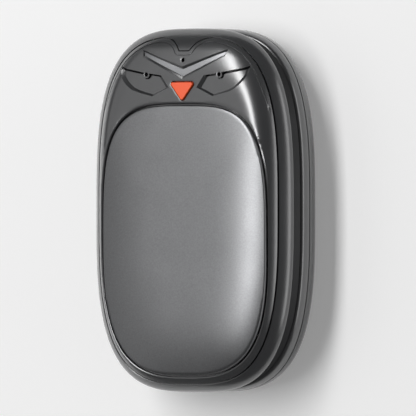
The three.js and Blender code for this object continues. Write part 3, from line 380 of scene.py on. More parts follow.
def plate_rings(surface, side, top_z):
    """Crowned face from the middle to the rounded edge, then the side and the back of the sheet."""
    edge_xy = outline_points(plate_outline(), stations)
    edge_z = surface(*edge_xy.T) - side * plate_edge_step
    centre = np.array([0, plate_centre_y])

    def crowned(r, lower):
        height = top_z + (edge_z - top_z) * r ** plate_crown_power - side * lower
        return ring(centre + (edge_xy - centre) * r, height)

    rings = []
    for r in plate_face_radii:
        rim = max(plate_edge_round - (1 - r) * plate_half_width, 0)
        rings.append(crowned(r, plate_edge_round - math.sqrt(plate_edge_round ** 2 - rim ** 2)))
    return rings + [crowned(r, plate_sheet) for r in plate_back_radii]


def drum(rings):
    """Points and faces of a closed lens: its first and last rings are capped to a middle point."""
    points = np.concatenate([*rings, [rings[0].mean(axis=0)], [rings[-1].mean(axis=0)]])
    first, last = len(points) - 2, len(points) - 1
    rows = row_numbers(rings)
    faces = strips(rows)
    for i in range(len(rings[0])):
        faces += [(first, rows[0][i], rows[0][i - 1]), (last, rows[-1][i - 1], rows[-1][i])]
    return points, facing_out(points, faces)


def blasted_aluminium(name, colour, roughness, grain_size, depth):
    """Metal after fine blasting: a bright speckle in its colour and an uneven matt."""
    dark, light = [c * 0.8 for c in colour], [min(c * 1.2, 1) for c in colour]
    return grained_material(name, dark, light, roughness, grain_size, depth, {"Metallic": 1.0}, True)


heating_plate = blasted_aluminium("heating_plate", (0.172, 0.174, 0.178), 0.33, 0.0004, 0.15)
for end, surface, side, top_z in (("rear", back_z, -1, 0.0), ("front", dome_z, 1, thickness)):
    plate = piece_from(f"{end}_heating_plate", *drum(plate_rings(surface, side, top_z)), heating_plate)
    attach(plate, "case")
    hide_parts(f"{end}_heat_plate")


# Middle housing. The real piece is a moulded band of the same plastic, drawn in to a waist that the
# fingers hold, with screw columns inside and the charging socket's opening at the foot end.
waist_inset = 3.15
waist_top = 18.6
hip_inset = 1.35
hip_z = 12.8
housing_foot = rear_line_height + seam_gap / 2
tongue_z = 8.65
housing_profile = [
    (waist_inset, waist_top), (waist_inset, 15.3), (waist_inset, 15.0), (3.12, 14.75), (3.0, 14.5),
    (2.72, 14.2), (2.2, 13.68), (1.7, 13.16), (1.45, 12.9),
]
for turn in np.linspace(0, quarter_turn, 17):
    fall = (hip_z - housing_foot - edge_break) * (1 - math.cos(turn))
    housing_profile.append((hip_inset * (1 - math.sin(turn)), hip_z - fall))
housing_profile += [
    (edge_break, housing_foot), (tongue_inset, housing_foot), (tongue_inset, tongue_z), (wall, tongue_z),
    (wall, housing_foot), (waist_inset, hip_z), (waist_inset + wall, 14.8), (waist_inset + wall, waist_top),
]
housing_rings = [body_ring(inset, z) for inset, z in housing_profile]
middle_housing = piece_from("middle_housing_moulding", *hoop(housing_rings), casing_plastic)

socket_width = 8.9
socket_height = 3.2
socket_side_flat = 0.2
socket_z = 13.1
socket_depth = 7.3
socket_face_y = -50.65
socket_gap = 0.3


def oblong_ring(half_w, half_h, radius, y, steps=12):
    """An oblong with rounded corners round the socket's middle line, as a ring at one place along Y."""
    loop = []
    w, h = half_w - radius, half_h - radius
    for quarter, (cx, cz) in enumerate(((w, h), (-w, h), (-w, -h), (w, -h))):
        for k in range(steps + 1):
            t = quarter_turn * (quarter + k / steps)
            loop.append((cx + radius * math.cos(t), y, socket_z + cz + radius * math.sin(t)))
    return np.array(loop)


def socket_ring(grow, y):
    half_h = socket_height / 2 + grow
    return oblong_ring(socket_width / 2 + grow, half_h, half_h - socket_side_flat / 2, y)


def plain_mesh_of(piece):
    """The mesh that a piece's modifiers make."""
    return bpy.data.meshes.new_from_object(piece.evaluated_get(bpy.context.evaluated_depsgraph_get()))


def cut(piece, cutter):
    """Cuts one closed piece out of another and leaves a plain mesh."""
    modifier = piece.modifiers.new("cut", "BOOLEAN")
    modifier.operation = "DIFFERENCE"
    modifier.solver = "EXACT"
    modifier.object = cutter
    mesh = plain_mesh_of(piece)
    piece.modifiers.remove(modifier)
    old, piece.data = piece.data, mesh
    bpy.data.meshes.remove(old)
    bpy.data.objects.remove(cutter)
    piece.data.set_sharp_from_angle(angle=moulding_crease)


opening_rings = [socket_ring(socket_gap, y) for y in (-half_length - wall, socket_face_y + socket_depth)]
cut(middle_housing, piece_from("socket_cutter", *drum(opening_rings)))
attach(middle_housing, "case")
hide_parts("middle_housing")


# Front frame. The real piece is the moulded band between the two parting lines at the front, with a
# tab over the forehead that stands in the face's notch. It holds the front cover's rim.
face_height = 22.2
plate_head_y = plate_centre_y + plate_half_length
notch_shares = [(0.0565, 0.7), (0.0916, 0.802), (0.1405, 0.869), (0.2534, 0.872)]
notch_corner = 0.45
notch_end_steps = 14
tab_half_angle = 13
tab_points = 261
tab_sheet_margin = 0.02
frame_sheet = 0.3
frame_edge_z = 19.15
frame_rear_z = 18.9
frame_edge_break = 0.08
frame_rim_inset = 4.95
frame_flange_z = 21.1
frame_start_slope = 0.95
cover_split = 0.3
fine_angles = np.linspace(0, full_turn, 20000, endpoint=False)


def on_face(place):
    """A place on the face, from a share across the body and one up the face."""
    return np.array([place[0] * half_width, plate_head_y + place[1] * face_height])


def bezier(start, handle, end, t):
    """A curve from start to end that heads for the handle at both of its ends."""
    return (1 - t) ** 2 * start + 2 * t * (1 - t) * handle + t ** 2 * end


def notch_curve(grow=0.0):
    """The right half of the forehead notch, from the middle to where it meets the front line."""
    start, first, second, peak = (on_face(place) for place in notch_shares)
    t = np.linspace(0, 1, 60)[:, None]
    curve = (1 - t) * bezier(start, first, second, t) + t * bezier(first, second, peak, t)
    curve = curve[np.hypot(*(curve - start).T) > notch_corner]
    corner = bezier(start - [notch_corner, 0], start, curve[0], np.linspace(0, 1, 9)[:, None])
    onwards = curve[-1] + (curve[-1] - curve[-2]) * notch_end_steps
    points = np.concatenate([[[0, start[1]]], corner, curve[1:], [onwards]])
    run = np.gradient(points, axis=0)
    normal = np.stack([run[:, 1], -run[:, 0]], axis=1)
    normal /= np.linalg.norm(normal, axis=1)[:, None]
    return points + normal * grow


def turn_of(xy):
    return np.arctan2(xy[:, 1], xy[:, 0]) % full_turn


def polar_radius(outline, angles):
    """An outline's distance from the origin at each angle."""
    xy = outline_points(outline, fine_angles)
    order = np.argsort(turn_of(xy))
    return np.interp(angles, turn_of(xy)[order], np.hypot(*xy.T)[order], period=full_turn)


def front_line_radius(angles, side_shift, notch_grow):
    """The parting line round the cover, with the notch: its distance from the origin at each angle."""
    line = polar_radius(body_inset(front_line_side + side_shift, front_line_end + side_shift), angles)
    curve = notch_curve(notch_grow)
    off_middle = np.abs(((angles - quarter_turn + math.pi) % full_turn) - math.pi)
    lean = np.arctan2(curve[:, 0], curve[:, 1])
    inside = np.interp(off_middle, lean, np.hypot(curve[:, 0], curve[:, 1]), right=np.inf)
    return np.minimum(line, inside)


def frame_rings():
    """The band's rings, from the top of the tab and the front line, over the rounding, to the inside."""
    extra = quarter_turn + np.radians(np.linspace(-tab_half_angle, tab_half_angle, tab_points))
    spread = outline_points(body_outline, np.concatenate([stations, extra]))
    angles = np.unique(np.round(turn_of(spread), 6))
    c, s = np.cos(angles), np.sin(angles)

    def reach(side, end=None):
        return polar_radius(body_inset(side, end), angles)

    def at(radius, z):
        return np.column_stack([radius * c, radius * s, np.broadcast_to(z, radius.shape)])

    side_start, end_start = front_line_side - cover_split / 2, front_line_end - cover_split / 2
    line = reach(side_start, end_start)
    tab = np.minimum(front_line_radius(angles, -cover_split / 2, -cover_split), line)
    on_tab = tab < line - tab_sheet_margin
    rings = []
    for share in np.linspace(0, 1, 24) ** 0.9:
        radius = tab + (line - tab) * share
        rings.append(at(radius, dome_z(radius * c, radius * s)))
    line_z = front_crest - front_line_drop
    corner_z = line_z - frame_start_slope * (side_start + (end_start - side_start) * s ** 2)
    for t in np.linspace(0, 1, 40)[1:]:
        radius = reach(side_start * (1 - t) ** 2, end_start * (1 - t) ** 2)
        rings.append(at(radius, bezier(line_z, corner_z, frame_edge_z, t)))
    outer, rim = reach(0), reach(frame_rim_inset)
    tab_z = dome_z(tab * c, tab * s)
    return rings + [
        at(outer, frame_rear_z + frame_edge_break),
        at(outer - frame_edge_break, frame_rear_z),
        at(rim, frame_rear_z),
        at(rim, frame_flange_z),
        at(line, frame_flange_z),
        at(line, np.where(on_tab, line_z - wall, (frame_flange_z + line_z) / 2)),
        at(tab, np.where(on_tab, tab_z - wall, line_z - frame_sheet)),
    ]


frame_plastic = moulded_plastic(
    "frame_plastic", (0.032, 0.033, 0.035), (0.04, 0.041, 0.044), 0.3, 0.0002, 0.07, metallic=0.3, coat=0.9
)
front_frame = piece_from("front_frame_moulding", *hoop(frame_rings()), frame_plastic)
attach(front_frame, "case")
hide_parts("front_frame")


# Front cover. The real piece is moulded like the rear one and carries the face: a raised rim along
# the frame, the sunk brow, engraved eyes, pinholes for the lamps and the beak's opening. The engraved
# surface is a sheet of triangles whose points follow the features' own lines.
brow_points = [(0, 0.338), (0.412, 0.631), (0.435, 0.73), (0, 0.505)]
eye_top_points = [(0.655, 0.516), (0.605, 0.486)]
eye_inner_points = [(0.217, 0.39), (0.141, 0.233), (0.306, 0.117)]
eye_curve_points = [(0.479, 0.182), (0.555, 0.244), (0.613, 0.325), (0.644, 0.4), (0.655, 0.516)]
lamp_points = [(0.3695, 0.401), (-0.3695, 0.401), (0, 0.588)]
beak_points = [(-0.124, 0.297), (0, 0.058), (0.124, 0.297)]
beak_corner = 0.5
beak_gap = 0.3
boss_radius = 1.05
boss_turn = (34, -196)
pinhole_radius = 0.55
pinhole_round = 0.15
opening_round = 0.18
brow_depth = 1.1
brow_wall_depth = 0.42
brow_edge_step = 0.1
brow_edge_width = 0.04
brow_end = 0.2
brow_slope = 0.62
brow_end_slope = 0.34
lid_width = 0.1
eye_depth = 0.85
gutter_depth = 1.3
gutter_start = 0.15
rim_rise = 0.3
rim_narrow = 0.3
rim_wide = 0.95
rim_wide_from_y = 26
rim_wide_over = 12
rim_line_width = 0.3
rim_line_depth = 0.2
rim_line_fade = 0.4
face_lip_round = 0.75
face_lip_fall = 1.6
least_sheet = 0.3
cover_ledge_scale = 0.93
lid_reach = 0.66
lip_row_shares = (0.03, 0.09, 0.18, 0.32, 0.55, 1.0)
lip_row_points = 760
crease_spacing = 0.11
crease_gap = 0.045
edge_margin = 0.02
brow_foot_margin = 0.015
brow_foot_step = 0.035
opening_rows = (0.05, 0.11, opening_round)
pinhole_rows = (0.04, 0.09, pinhole_round)
pinhole_points = 36
notch_half_width = 12
notch_from_y = 38
rim_row_step = 0.05
rim_row_spacing = 0.18
rim_far = 3.0
rim_band = 4.0
far_from_loop = 2
chunk = 4000


def evenly(line, spacing, closed=False):
    """A line's points at an even spacing, its ends kept."""
    line = np.asarray(line, float)
    if closed:
        line = np.concatenate([line, line[:1]])
    run = np.concatenate([[0], np.cumsum(np.hypot(*np.diff(line, axis=0).T))])
    count = max(int(round(run[-1] / spacing)), 2)
    at = np.linspace(0, run[-1], count + 1)
    if closed:
        at = at[:-1]
    return np.stack([np.interp(at, run, line[:, k]) for k in (0, 1)], axis=1)


def spline(points, per_span=12):
    """A smooth curve through points."""
    p = np.array([2 * np.array(points[0]) - points[1], *points, 2 * np.array(points[-1]) - points[-2]])
    t = np.linspace(0, 1, per_span, endpoint=False)[:, None]
    out = []
    for a, b, c, d in zip(p, p[1:], p[2:], p[3:]):
        square = (2 * a - 5 * b + 4 * c - d) * t ** 2
        out.append(0.5 * (2 * b + (c - a) * t + square + (3 * b - a - 3 * c + d) * t ** 3))
    return np.concatenate([*out, p[-2][None, :]])


def rounded_polygon(corners, radius, steps=8):
    """A polygon with rounded corners, as a closed loop."""
    corners = [np.array(c, float) for c in corners]
    loop = []
    for k, corner in enumerate(corners):
        a = corners[k - 1] - corner
        b = corners[(k + 1) % len(corners)] - corner
        a, b = a / np.linalg.norm(a), b / np.linalg.norm(b)
        half = math.acos(np.clip(np.dot(a, b), -1, 1)) / 2
        middle = corner + (a + b) / np.linalg.norm(a + b) * radius / math.sin(half)
        start = corner + a * radius / math.tan(half) - middle
        end = corner + b * radius / math.tan(half) - middle
        turn = math.atan2(start[0] * end[1] - start[1] * end[0], np.dot(start, end))
        square_to_start = np.array([-start[1], start[0]])
        for angle in np.linspace(0, turn, steps + 1):
            loop.append(middle + start * math.cos(angle) + square_to_start * math.sin(angle))
    return np.array(loop)


def gaps_to_sides(xy, a, b):
    """Distances from points to the sides from a to b, and how far along each side the nearest place is."""
    ab = b - a
    p = xy[:, None, :]
    t = np.clip(((p - a) * ab).sum(-1) / np.maximum((ab ** 2).sum(-1), 1e-12), 0, 1)
    return np.sqrt((((p - a) - t[..., None] * ab) ** 2).sum(-1)), t


def signed_distance(xy, loop):
    """How far points lie from a closed loop: more than 0 inside it, and roughly where far outside."""
    a = np.asarray(loop)
    far = np.maximum(a.min(axis=0) - xy, xy - a.max(axis=0)).max(axis=1)
    if len(xy) > chunk and (far > far_from_loop).any():
        out = -far
        near = far <= far_from_loop
        out[near] = signed_distance(xy[near], loop)
        return out
    b = np.roll(a, -1, axis=0)
    out = np.empty(len(xy))
    for first in range(0, len(xy), chunk):
        part = xy[first:first + chunk]
        x, y = part[:, :1], part[:, 1:]
        rises = (a[:, 1] > y) != (b[:, 1] > y)
        rise = np.where(np.abs(b[:, 1] - a[:, 1]) < 1e-12, 1e-12, b[:, 1] - a[:, 1])
        crosses = rises & (x < a[:, 0] + (y - a[:, 1]) / rise * (b[:, 0] - a[:, 0]))
        gap = gaps_to_sides(part, a, b)[0].min(1)
        out[first:first + chunk] = np.where(crosses.sum(1) % 2 == 1, gap, -gap)
    return out


def line_distance(xy, line):
    """Distance to an open line and how far along it the nearest place is, from 0 to 1."""
    length = np.hypot(*np.diff(line, axis=0).T)
    run = np.concatenate([[0], np.cumsum(length)])[:-1]
    gap, t = gaps_to_sides(xy, line[:-1], line[1:])
    nearest = gap.argmin(1)
    rows = np.arange(len(xy))
    return gap[rows, nearest], (run[nearest] + t[rows, nearest] * length[nearest]) / length.sum()


def mirror(points):
    return np.asarray(points) * [-1, 1]


def folded(points):
    """Points of both halves of the face, laid on its right half."""
    return np.abs(points * [1, 0]) + points * [0, 1]


def turns_left(loop):
    x, y = loop.T
    return (x * np.roll(y, -1) - y * np.roll(x, -1)).sum() > 0


def grown(line, distance, closed=True):
    """A line moved sideways: a closed loop outwards, an open line to its right."""
    line = np.asarray(line, float)
    side = 1
    if closed:
        run = np.roll(line, -1, axis=0) - np.roll(line, 1, axis=0)
        side = 1 if turns_left(line) else -1
    else:
        run = np.gradient(line, axis=0)
    normal = np.stack([run[:, 1], -run[:, 0]], axis=1)
    normal /= np.maximum(np.linalg.norm(normal, axis=1), 1e-9)[:, None]
    return line + normal * side * np.reshape(distance, (-1, 1))


def inset_polygon(corners, distances):
    """A polygon whose sides each move inwards by their own distance."""
    corners = np.asarray(corners, float)
    distances = np.broadcast_to(distances, (len(corners),))
    inward = 1 if turns_left(corners) else -1
    runs = np.roll(corners, -1, axis=0) - corners
    normals = inward * np.stack([-runs[:, 1], runs[:, 0]], axis=1) / np.linalg.norm(runs, axis=1)[:, None]
    starts = corners + normals * distances[:, None]
    out = []
    for k, (q, v) in enumerate(zip(starts, runs)):
        p, u = starts[k - 1], runs[k - 1]
        t = ((q - p)[0] * v[1] - (q - p)[1] * v[0]) / (u[0] * v[1] - u[1] * v[0])
        out.append(p + u * t)
    return np.array(out)


def circle(middle, radius, turns):
    return middle + radius * np.stack([np.cos(turns), np.sin(turns)], axis=1)


def eye_walls():
    """The eye pocket's walls: upper edge, width at even steps along it, and reach of its gutter."""
    boss = circle(on_face(lamp_points[0]), boss_radius, np.radians(np.linspace(*boss_turn, 34)))
    tip, bend = (on_face(p) for p in eye_top_points)
    corners = [on_face(p) for p in eye_inner_points]
    curve = spline([corners[-1], *(on_face(p) for p in eye_curve_points)])
    return [
        (spline([tip, bend, (bend + boss[0]) / 2, boss[0]]), [lid_width, lid_width], lid_reach),
        (boss, [lid_width, lid_width], 0.3),
        (np.array([boss[-1], corners[0]]), [lid_width, lid_width], 0.5),
        (np.array([corners[0], corners[1]]), [1.0, 1.05], 0),
        (np.array([corners[1], corners[2]]), [0.46, 0.5], 0),
        (curve, [0.5, 0.55, 0.66, 0.8, 0.95, 1.08, 1.15, 1.1], 0),
    ]


def width_along(widths, along):
    return np.interp(along, np.linspace(0, 1, len(widths)), widths)


right_eye_walls = eye_walls()
right_eye_loop = np.concatenate([line[:-1] for line, _, _ in right_eye_walls])
brow_right = [on_face(p) for p in brow_points]
brow_loop = np.array([*brow_right, mirror(brow_right[2]), mirror(brow_right[1])])
brow_floor_loop = inset_polygon(brow_loop, [brow_end_slope, brow_end, brow_end_slope] * 2)
brow_floor_loop[[0, 3]] = inset_polygon(brow_loop, [brow_slope, brow_end, brow_slope] * 2)[[0, 3]]
beak_loop = evenly(rounded_polygon([on_face(p) for p in beak_points], beak_corner), 0.08, closed=True)
cover_turns = np.linspace(0, full_turn, 60000, endpoint=False)
cover_outline = circle(0, front_line_radius(cover_turns, cover_split / 2, 0)[:, None], cover_turns)
rim_loop = evenly(cover_outline, 0.2, closed=True)
opening_loop = evenly(grown(beak_loop, beak_gap), 0.12, closed=True)


def smooth_step(value):
    t = np.clip(value, 0, 1)
    return t * t * (3 - 2 * t)


def quarter_round(gap, radius):
    """How far an edge rounding has fallen at a distance from the edge."""
    near = np.clip(1 - gap / radius, 0, 1)
    return radius * (1 - np.sqrt(np.maximum(1 - near ** 2, 0)))


def within_rim(xy, margin=0.0):
    """Points inside the cover's outer edge, which turns once round the origin."""
    return np.hypot(*xy.T) < front_line_radius(turn_of(xy), cover_split / 2, 0) - margin


def rim_distance(xy):
    """How far inside the rim points lie; far inside, only a lower bound."""
    out = np.full(len(xy), rim_far)
    near = ~within_rim(xy, rim_band)
    out[near] = signed_distance(xy[near], rim_loop)
    return out


def rim_width(xy):
    """The raised rim is wide along the head and the notch, and narrow beside the plate."""
    return rim_narrow + (rim_wide - rim_narrow) * smooth_step((xy[:, 1] - rim_wide_from_y) / rim_wide_over)


def eye_depth_at(spots):
    """The right eye's pocket: its walls meet in mitres, and the lid and the boss have a gutter."""
    share = np.full(len(spots), np.inf)
    sloping = np.full(len(spots), 1.0)
    gutter = np.zeros(len(spots))
    for line, widths, reach in right_eye_walls:
        gap, along = line_distance(spots, line)
        wall_share = gap / width_along(widths, along)
        share = np.minimum(share, wall_share)
        if reach:
            near = np.clip(gap / lid_width, 0, 1)
            near = np.minimum(near, np.clip((reach - gap) / (reach - gutter_start), 0, 1))
            gutter = np.maximum(gutter, gutter_depth * near)
        else:
            sloping = np.minimum(sloping, wall_share)
    depth = eye_depth * np.clip(share, 0, 1) + gutter * sloping
    return np.where(signed_distance(spots, right_eye_loop) > 0, depth, 0)


def brow_depth_at(spots):
    """The sunk brow: sloping long walls, and steep walls at its two ends."""
    inside = signed_distance(spots, brow_loop)
    over_floor = signed_distance(spots, brow_floor_loop)
    share = inside / np.maximum(inside + np.maximum(-over_floor, 0), 1e-9)
    wall_depth = brow_edge_step + (brow_wall_depth - brow_edge_step) * share
    wall_depth = wall_depth * np.clip(inside / brow_edge_width, 0, 1)
    depth = np.where(over_floor > brow_foot_margin, brow_depth, wall_depth)
    return np.where(inside > 0, depth, 0)


def engraving_depth(xy):
    """How far the face lies below the dome at each point."""
    width = rim_width(xy)
    rim = rim_distance(xy)
    depth = -rim_rise * width / rim_wide * np.clip(1 - rim / width, 0, 1)
    line = 1 - np.abs(rim - width - rim_line_width / 2) / (rim_line_width / 2)
    line_share = smooth_step((width - rim_narrow) / rim_line_fade)
    depth = depth + rim_line_depth * np.clip(line * 2, 0, 1) * line_share
    lip = -inset_in(lip_outline, *xy.T)
    depth = np.maximum(depth, face_lip_fall * quarter_round(lip, face_lip_round))
    face = xy[:, 1] > plate_head_y
    spots = xy[face]
    deep = np.maximum(depth[face], brow_depth_at(spots))
    deep = np.maximum(deep, eye_depth_at(folded(spots)))
    deep = np.maximum(deep, quarter_round(-signed_distance(spots, opening_loop), opening_round))
    for place in lamp_points:
        gap = np.hypot(*(spots - on_face(place)).T) - pinhole_radius
        deep = np.maximum(deep, quarter_round(gap, pinhole_round))
    depth[face] = deep
    return depth


def pinhole(place, beyond=0.0):
    turns = np.linspace(0, full_turn, pinhole_points, endpoint=False)
    return circle(on_face(place), pinhole_radius + beyond, turns)


def grid(x_reach, low_y, high_y, spacing):
    """Points in staggered rows."""
    x = np.arange(-x_reach, x_reach + spacing / 2, spacing)
    y = np.arange(low_y, high_y, spacing)
    points = np.stack(np.meshgrid(x, y), axis=-1).reshape(-1, 2)
    points[:, 0] += spacing / 2 * (np.round((points[:, 1] - low_y) / spacing) % 2)
    return points


def sides_of(polygon, spacing):
    """Points along a polygon's sides at an even spacing, its corners kept."""
    ends = np.roll(polygon, -1, axis=0)
    return np.concatenate([evenly(np.array(side), spacing)[:-1] for side in zip(polygon, ends)])


def eye_mitres():
    """Lines down the pocket's corners, where two sloping walls meet."""
    (inner, inner_widths, _), (lower, lower_widths, _), (curve, curve_widths, _) = right_eye_walls[3:]
    lid = right_eye_walls[0][0]
    corners = [
        (inner[0], lower[0], lower[-1], inner_widths[-1], lower_widths[0]),
        (lower[0], curve[0], curve[1], lower_widths[-1], curve_widths[0]),
        (curve[-2], lid[0], lid[-1], curve_widths[-1], lid_width),
    ]
    for before, corner, after, first_width, second_width in corners:
        foot = inset_polygon([before, corner, after], [first_width, second_width, 0])[1]
        yield evenly(np.array([corner, foot]), crease_spacing)


def crease_lines():
    """Points along every edge of the engraving, so that the triangles follow them."""
    brow_edge_loop = inset_polygon(brow_loop, brow_edge_width)
    brow_foot_loop = inset_polygon(brow_floor_loop, brow_foot_step)
    polygons = (brow_loop, brow_edge_loop, brow_floor_loop, brow_foot_loop)
    lines = [sides_of(polygon, crease_spacing) for polygon in polygons]
    lines += [evenly(np.array(side), crease_spacing) for side in zip(brow_loop, brow_floor_loop)]
    for mitre in eye_mitres():
        lines += [mitre, mirror(mitre)]
    for line, widths, reach in right_eye_walls:
        edge = evenly(line, crease_spacing)
        offsets = [0, width_along(widths, np.linspace(0, 1, len(edge)))]
        if reach:
            offsets += [gutter_start, reach]
        for offset in offsets:
            inner = grown(edge, offset, closed=False)
            middle = inner[len(inner) // 2]
            if signed_distance(middle[None, :], right_eye_loop)[0] < -0.01:
                inner = grown(edge, -offset, closed=False)
            lines += [inner, mirror(inner)]
    lines += [grown(opening_loop, distance) for distance in opening_rows]
    for place in lamp_points:
        lines += [pinhole(place, beyond) for beyond in pinhole_rows]
    return lines


def rim_rows():
    """Lines along the raised rim and the groove at its foot, each found in a few rounds because the
    rim's width changes along it."""
    fine = evenly(cover_outline, rim_row_step, closed=True)
    for share, beyond in ((0.5, 0), (1, 0), (1, 0.25), (1, 0.75), (1, 1)):
        line = fine
        for _ in range(4):
            inward = rim_width(line) * share + beyond * rim_line_width
            line = grown(fine, -inward)
        near_notch = (np.abs(line[:, 0]) < notch_half_width) & (line[:, 1] > notch_from_y)
        kept = ~near_notch
        kept[near_notch] = np.abs(signed_distance(line[near_notch], rim_loop) - inward[near_notch]) < 0.01
        yield evenly(line[kept], rim_row_spacing, closed=True)


def spaced(groups):
    """Points of all groups, each kept only where no point of an earlier group stands too near."""
    kept = np.zeros((0, 2))
    for points, gap in groups:
        if len(kept):
            tree = KDTree(len(kept))
            for index, (x, y) in enumerate(kept):
                tree.insert((x, y, 0), index)
            tree.balance()
            near = np.array([tree.find((x, y, 0))[2] for x, y in points])
            points = points[near > gap]
        kept = np.concatenate([kept, points])
    return kept


def triangulated(loops, inner, kept):
    """Triangles over closed loops and inner points, for middles that pass a test; loops as numbers."""
    edges, firsts = [], np.cumsum([0] + [len(loop) for loop in loops])
    for first, loop in zip(firsts, loops):
        edges += [(int(first) + i, int(first) + (i + 1) % len(loop)) for i in range(len(loop))]
    points = [Vector(p) for p in np.concatenate([*loops, inner])]
    xy, _, triangles, source, _, _ = delaunay_2d_cdt(points, edges, [], 0, 1e-7)
    xy = np.array([tuple(p) for p in xy])
    triangles = np.array([t for t in triangles if len(t) == 3])
    triangles = triangles[kept(xy[triangles].mean(axis=1))]
    where = {origin: index for index, origins in enumerate(source) for origin in origins}
    numbers = [[where[first + i] for i in range(len(loop))] for first, loop in zip(firsts, loops)]
    return xy, triangles, numbers


def sheet_faces(triangles, count, walls):
    """Faces of a sheet and its underside, with walls between them along loops."""
    faces = [tuple(t) for t in triangles] + [tuple(int(i) + count for i in t[::-1]) for t in triangles]
    for loop in walls:
        faces += strips([loop, [i + count for i in loop]])
    return faces


lid_line = np.concatenate([line for line, _, _ in right_eye_walls[:3]])
# Each row: half width, lowest and highest Y, spacing, distance from earlier points, and where.
fill_areas = [
    (22, 37, 42.5, 0.1, 0.07, lambda xy: line_distance(folded(xy), lid_line)[0] < 0.6),
    (11, 43, 50.5, 0.13, 0.08, lambda xy: rim_distance(xy) < 1.35),
    (22, 32, 42.5, 0.15, 0.1, lambda xy: eye_depth_at(folded(xy)) > 0),
    (31, -51, 51, 0.3, 0.14, lambda xy: (rim_distance(xy) < 1.6) | (brow_depth_at(xy) > 0)),
    (30, 24, 51, 0.55, 0.3, None),
    (33, -53, 53, 0.8, 0.5, None),
]


def engraved_sheet():
    """Triangles of the cover's outer surface, and its boundary loops as point numbers."""
    angles = even_angles(lip_outline, lip_row_points)
    holes = [opening_loop, *(pinhole(place) for place in lamp_points)]
    bounds = [rim_loop, outline_points(lip_outline, angles), *holes]
    lip_edges = [plate_outline(-plate_groove - face_lip_round * share) for share in lip_row_shares]
    followed = [*bounds, *rim_rows(), *(outline_points(edge, angles) for edge in lip_edges)]
    border = np.concatenate(followed)
    groups = [(border, 0), (np.concatenate(crease_lines()), crease_gap)]
    for *area, gap, where in fill_areas:
        fill = grid(*area)
        groups.append((fill[where(fill)] if where else fill, gap))
    points = spaced(groups)

    def on_cover(xy, margin=0.0):
        inside = within_rim(xy, margin * 1.5) & (inset_in(lip_outline, *xy.T) < -margin)
        for hole in holes:
            inside &= signed_distance(xy, hole) < -margin
        return inside

    inner = points[len(border):]
    xy, triangles, numbers = triangulated(followed, inner[on_cover(inner, edge_margin)], on_cover)
    return xy, triangles, numbers[:len(bounds)]


def front_cover_shell():
    """The engraved sheet, its walls downwards and the cover's underside, as one closed mesh."""
    xy, triangles, (rim, lip, *holes) = engraved_sheet()
    dome = dome_z(*xy.T)
    top = ring(xy, dome - engraving_depth(xy))
    a, b, c = (top[triangles[:, k]] for k in range(3))
    down = np.cross(b - a, c - a)[:, 2] < 0
    triangles[down] = triangles[down][:, ::-1]
    count = len(xy)
    faces = sheet_faces(triangles, count, (rim, *holes))
    points = [top, ring(xy, np.minimum(dome - wall, top[:, 2] - least_sheet))]
    centre = np.array([0, plate_centre_y])
    ledge = centre + (xy[lip] - centre) * cover_ledge_scale
    seat = dome[lip] - plate_sheet - seam_gap
    under = seat - ledge_sheet
    ledge_places = ((xy[lip], seat), (ledge, seat), (ledge, under), (xy[lip], under))
    ledge_rings = [ring(place, z) for place, z in ledge_places]
    ledge_rows = [[2 * count + i for i in row] for row in row_numbers(ledge_rings)]
    faces += strips([lip, *ledge_rows, [i + count for i in lip]])
    return np.concatenate(points + ledge_rings), faces


def turn_outwards(piece, crease):
    """Turns every face of a closed mesh outwards and marks its creases."""
    work = bmesh.new()
    work.from_mesh(piece.data)
    bmesh.ops.recalc_face_normals(work, faces=work.faces)
    work.to_mesh(piece.data)
    work.free()
    piece.data.set_sharp_from_angle(angle=crease)


front_cover = piece_from("front_cover_moulding", *front_cover_shell(), casing_plastic)
turn_outwards(front_cover, math.radians(20))
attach(front_cover, "case")
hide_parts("front_cover")


# Brow trim. The real piece is a thin anodised aluminium inlay, stamped out and pressed into the sunk
# brow between its sloping walls.
inlay_gap = 0.09
inlay_below = 0.4
inlay_sheet = 0.65
inlay_edge = 0.07
inlay_spacing = 0.2
inlay_edge_fall = 0.6


def inlay_shell():
    """A closed plate over the brow's floor: a triangulated top with a softened edge, a wall, a bottom."""
    loop = inset_polygon(brow_floor_loop, inlay_gap)
    edge = sides_of(loop, inlay_spacing)
    fill = grid(half_width, plate_head_y, half_length, inlay_spacing * 2)
    inner = np.concatenate([sides_of(inset_polygon(loop, inlay_edge), inlay_spacing), fill])
    inner = inner[signed_distance(inner, edge) > inlay_edge - edge_margin]
    xy, triangles, (rim,) = triangulated([edge], inner, lambda middle: signed_distance(middle, edge) > 0)
    drop = np.clip(inlay_edge - signed_distance(xy, edge), 0, inlay_edge) * inlay_edge_fall
    top = dome_z(*xy.T) - inlay_below
    points = np.concatenate([ring(xy, top - drop), ring(xy, top - inlay_sheet)])
    return points, sheet_faces(triangles, len(xy), [rim])


brow_metal = blasted_aluminium("brow_metal", (0.23, 0.233, 0.24), 0.34, 0.0002, 0.05)
brow_trim = piece_from("brow_inlay", *inlay_shell(), brow_metal)
turn_outwards(brow_trim, math.radians(15))
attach(brow_trim, "case")
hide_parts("brow_trim")


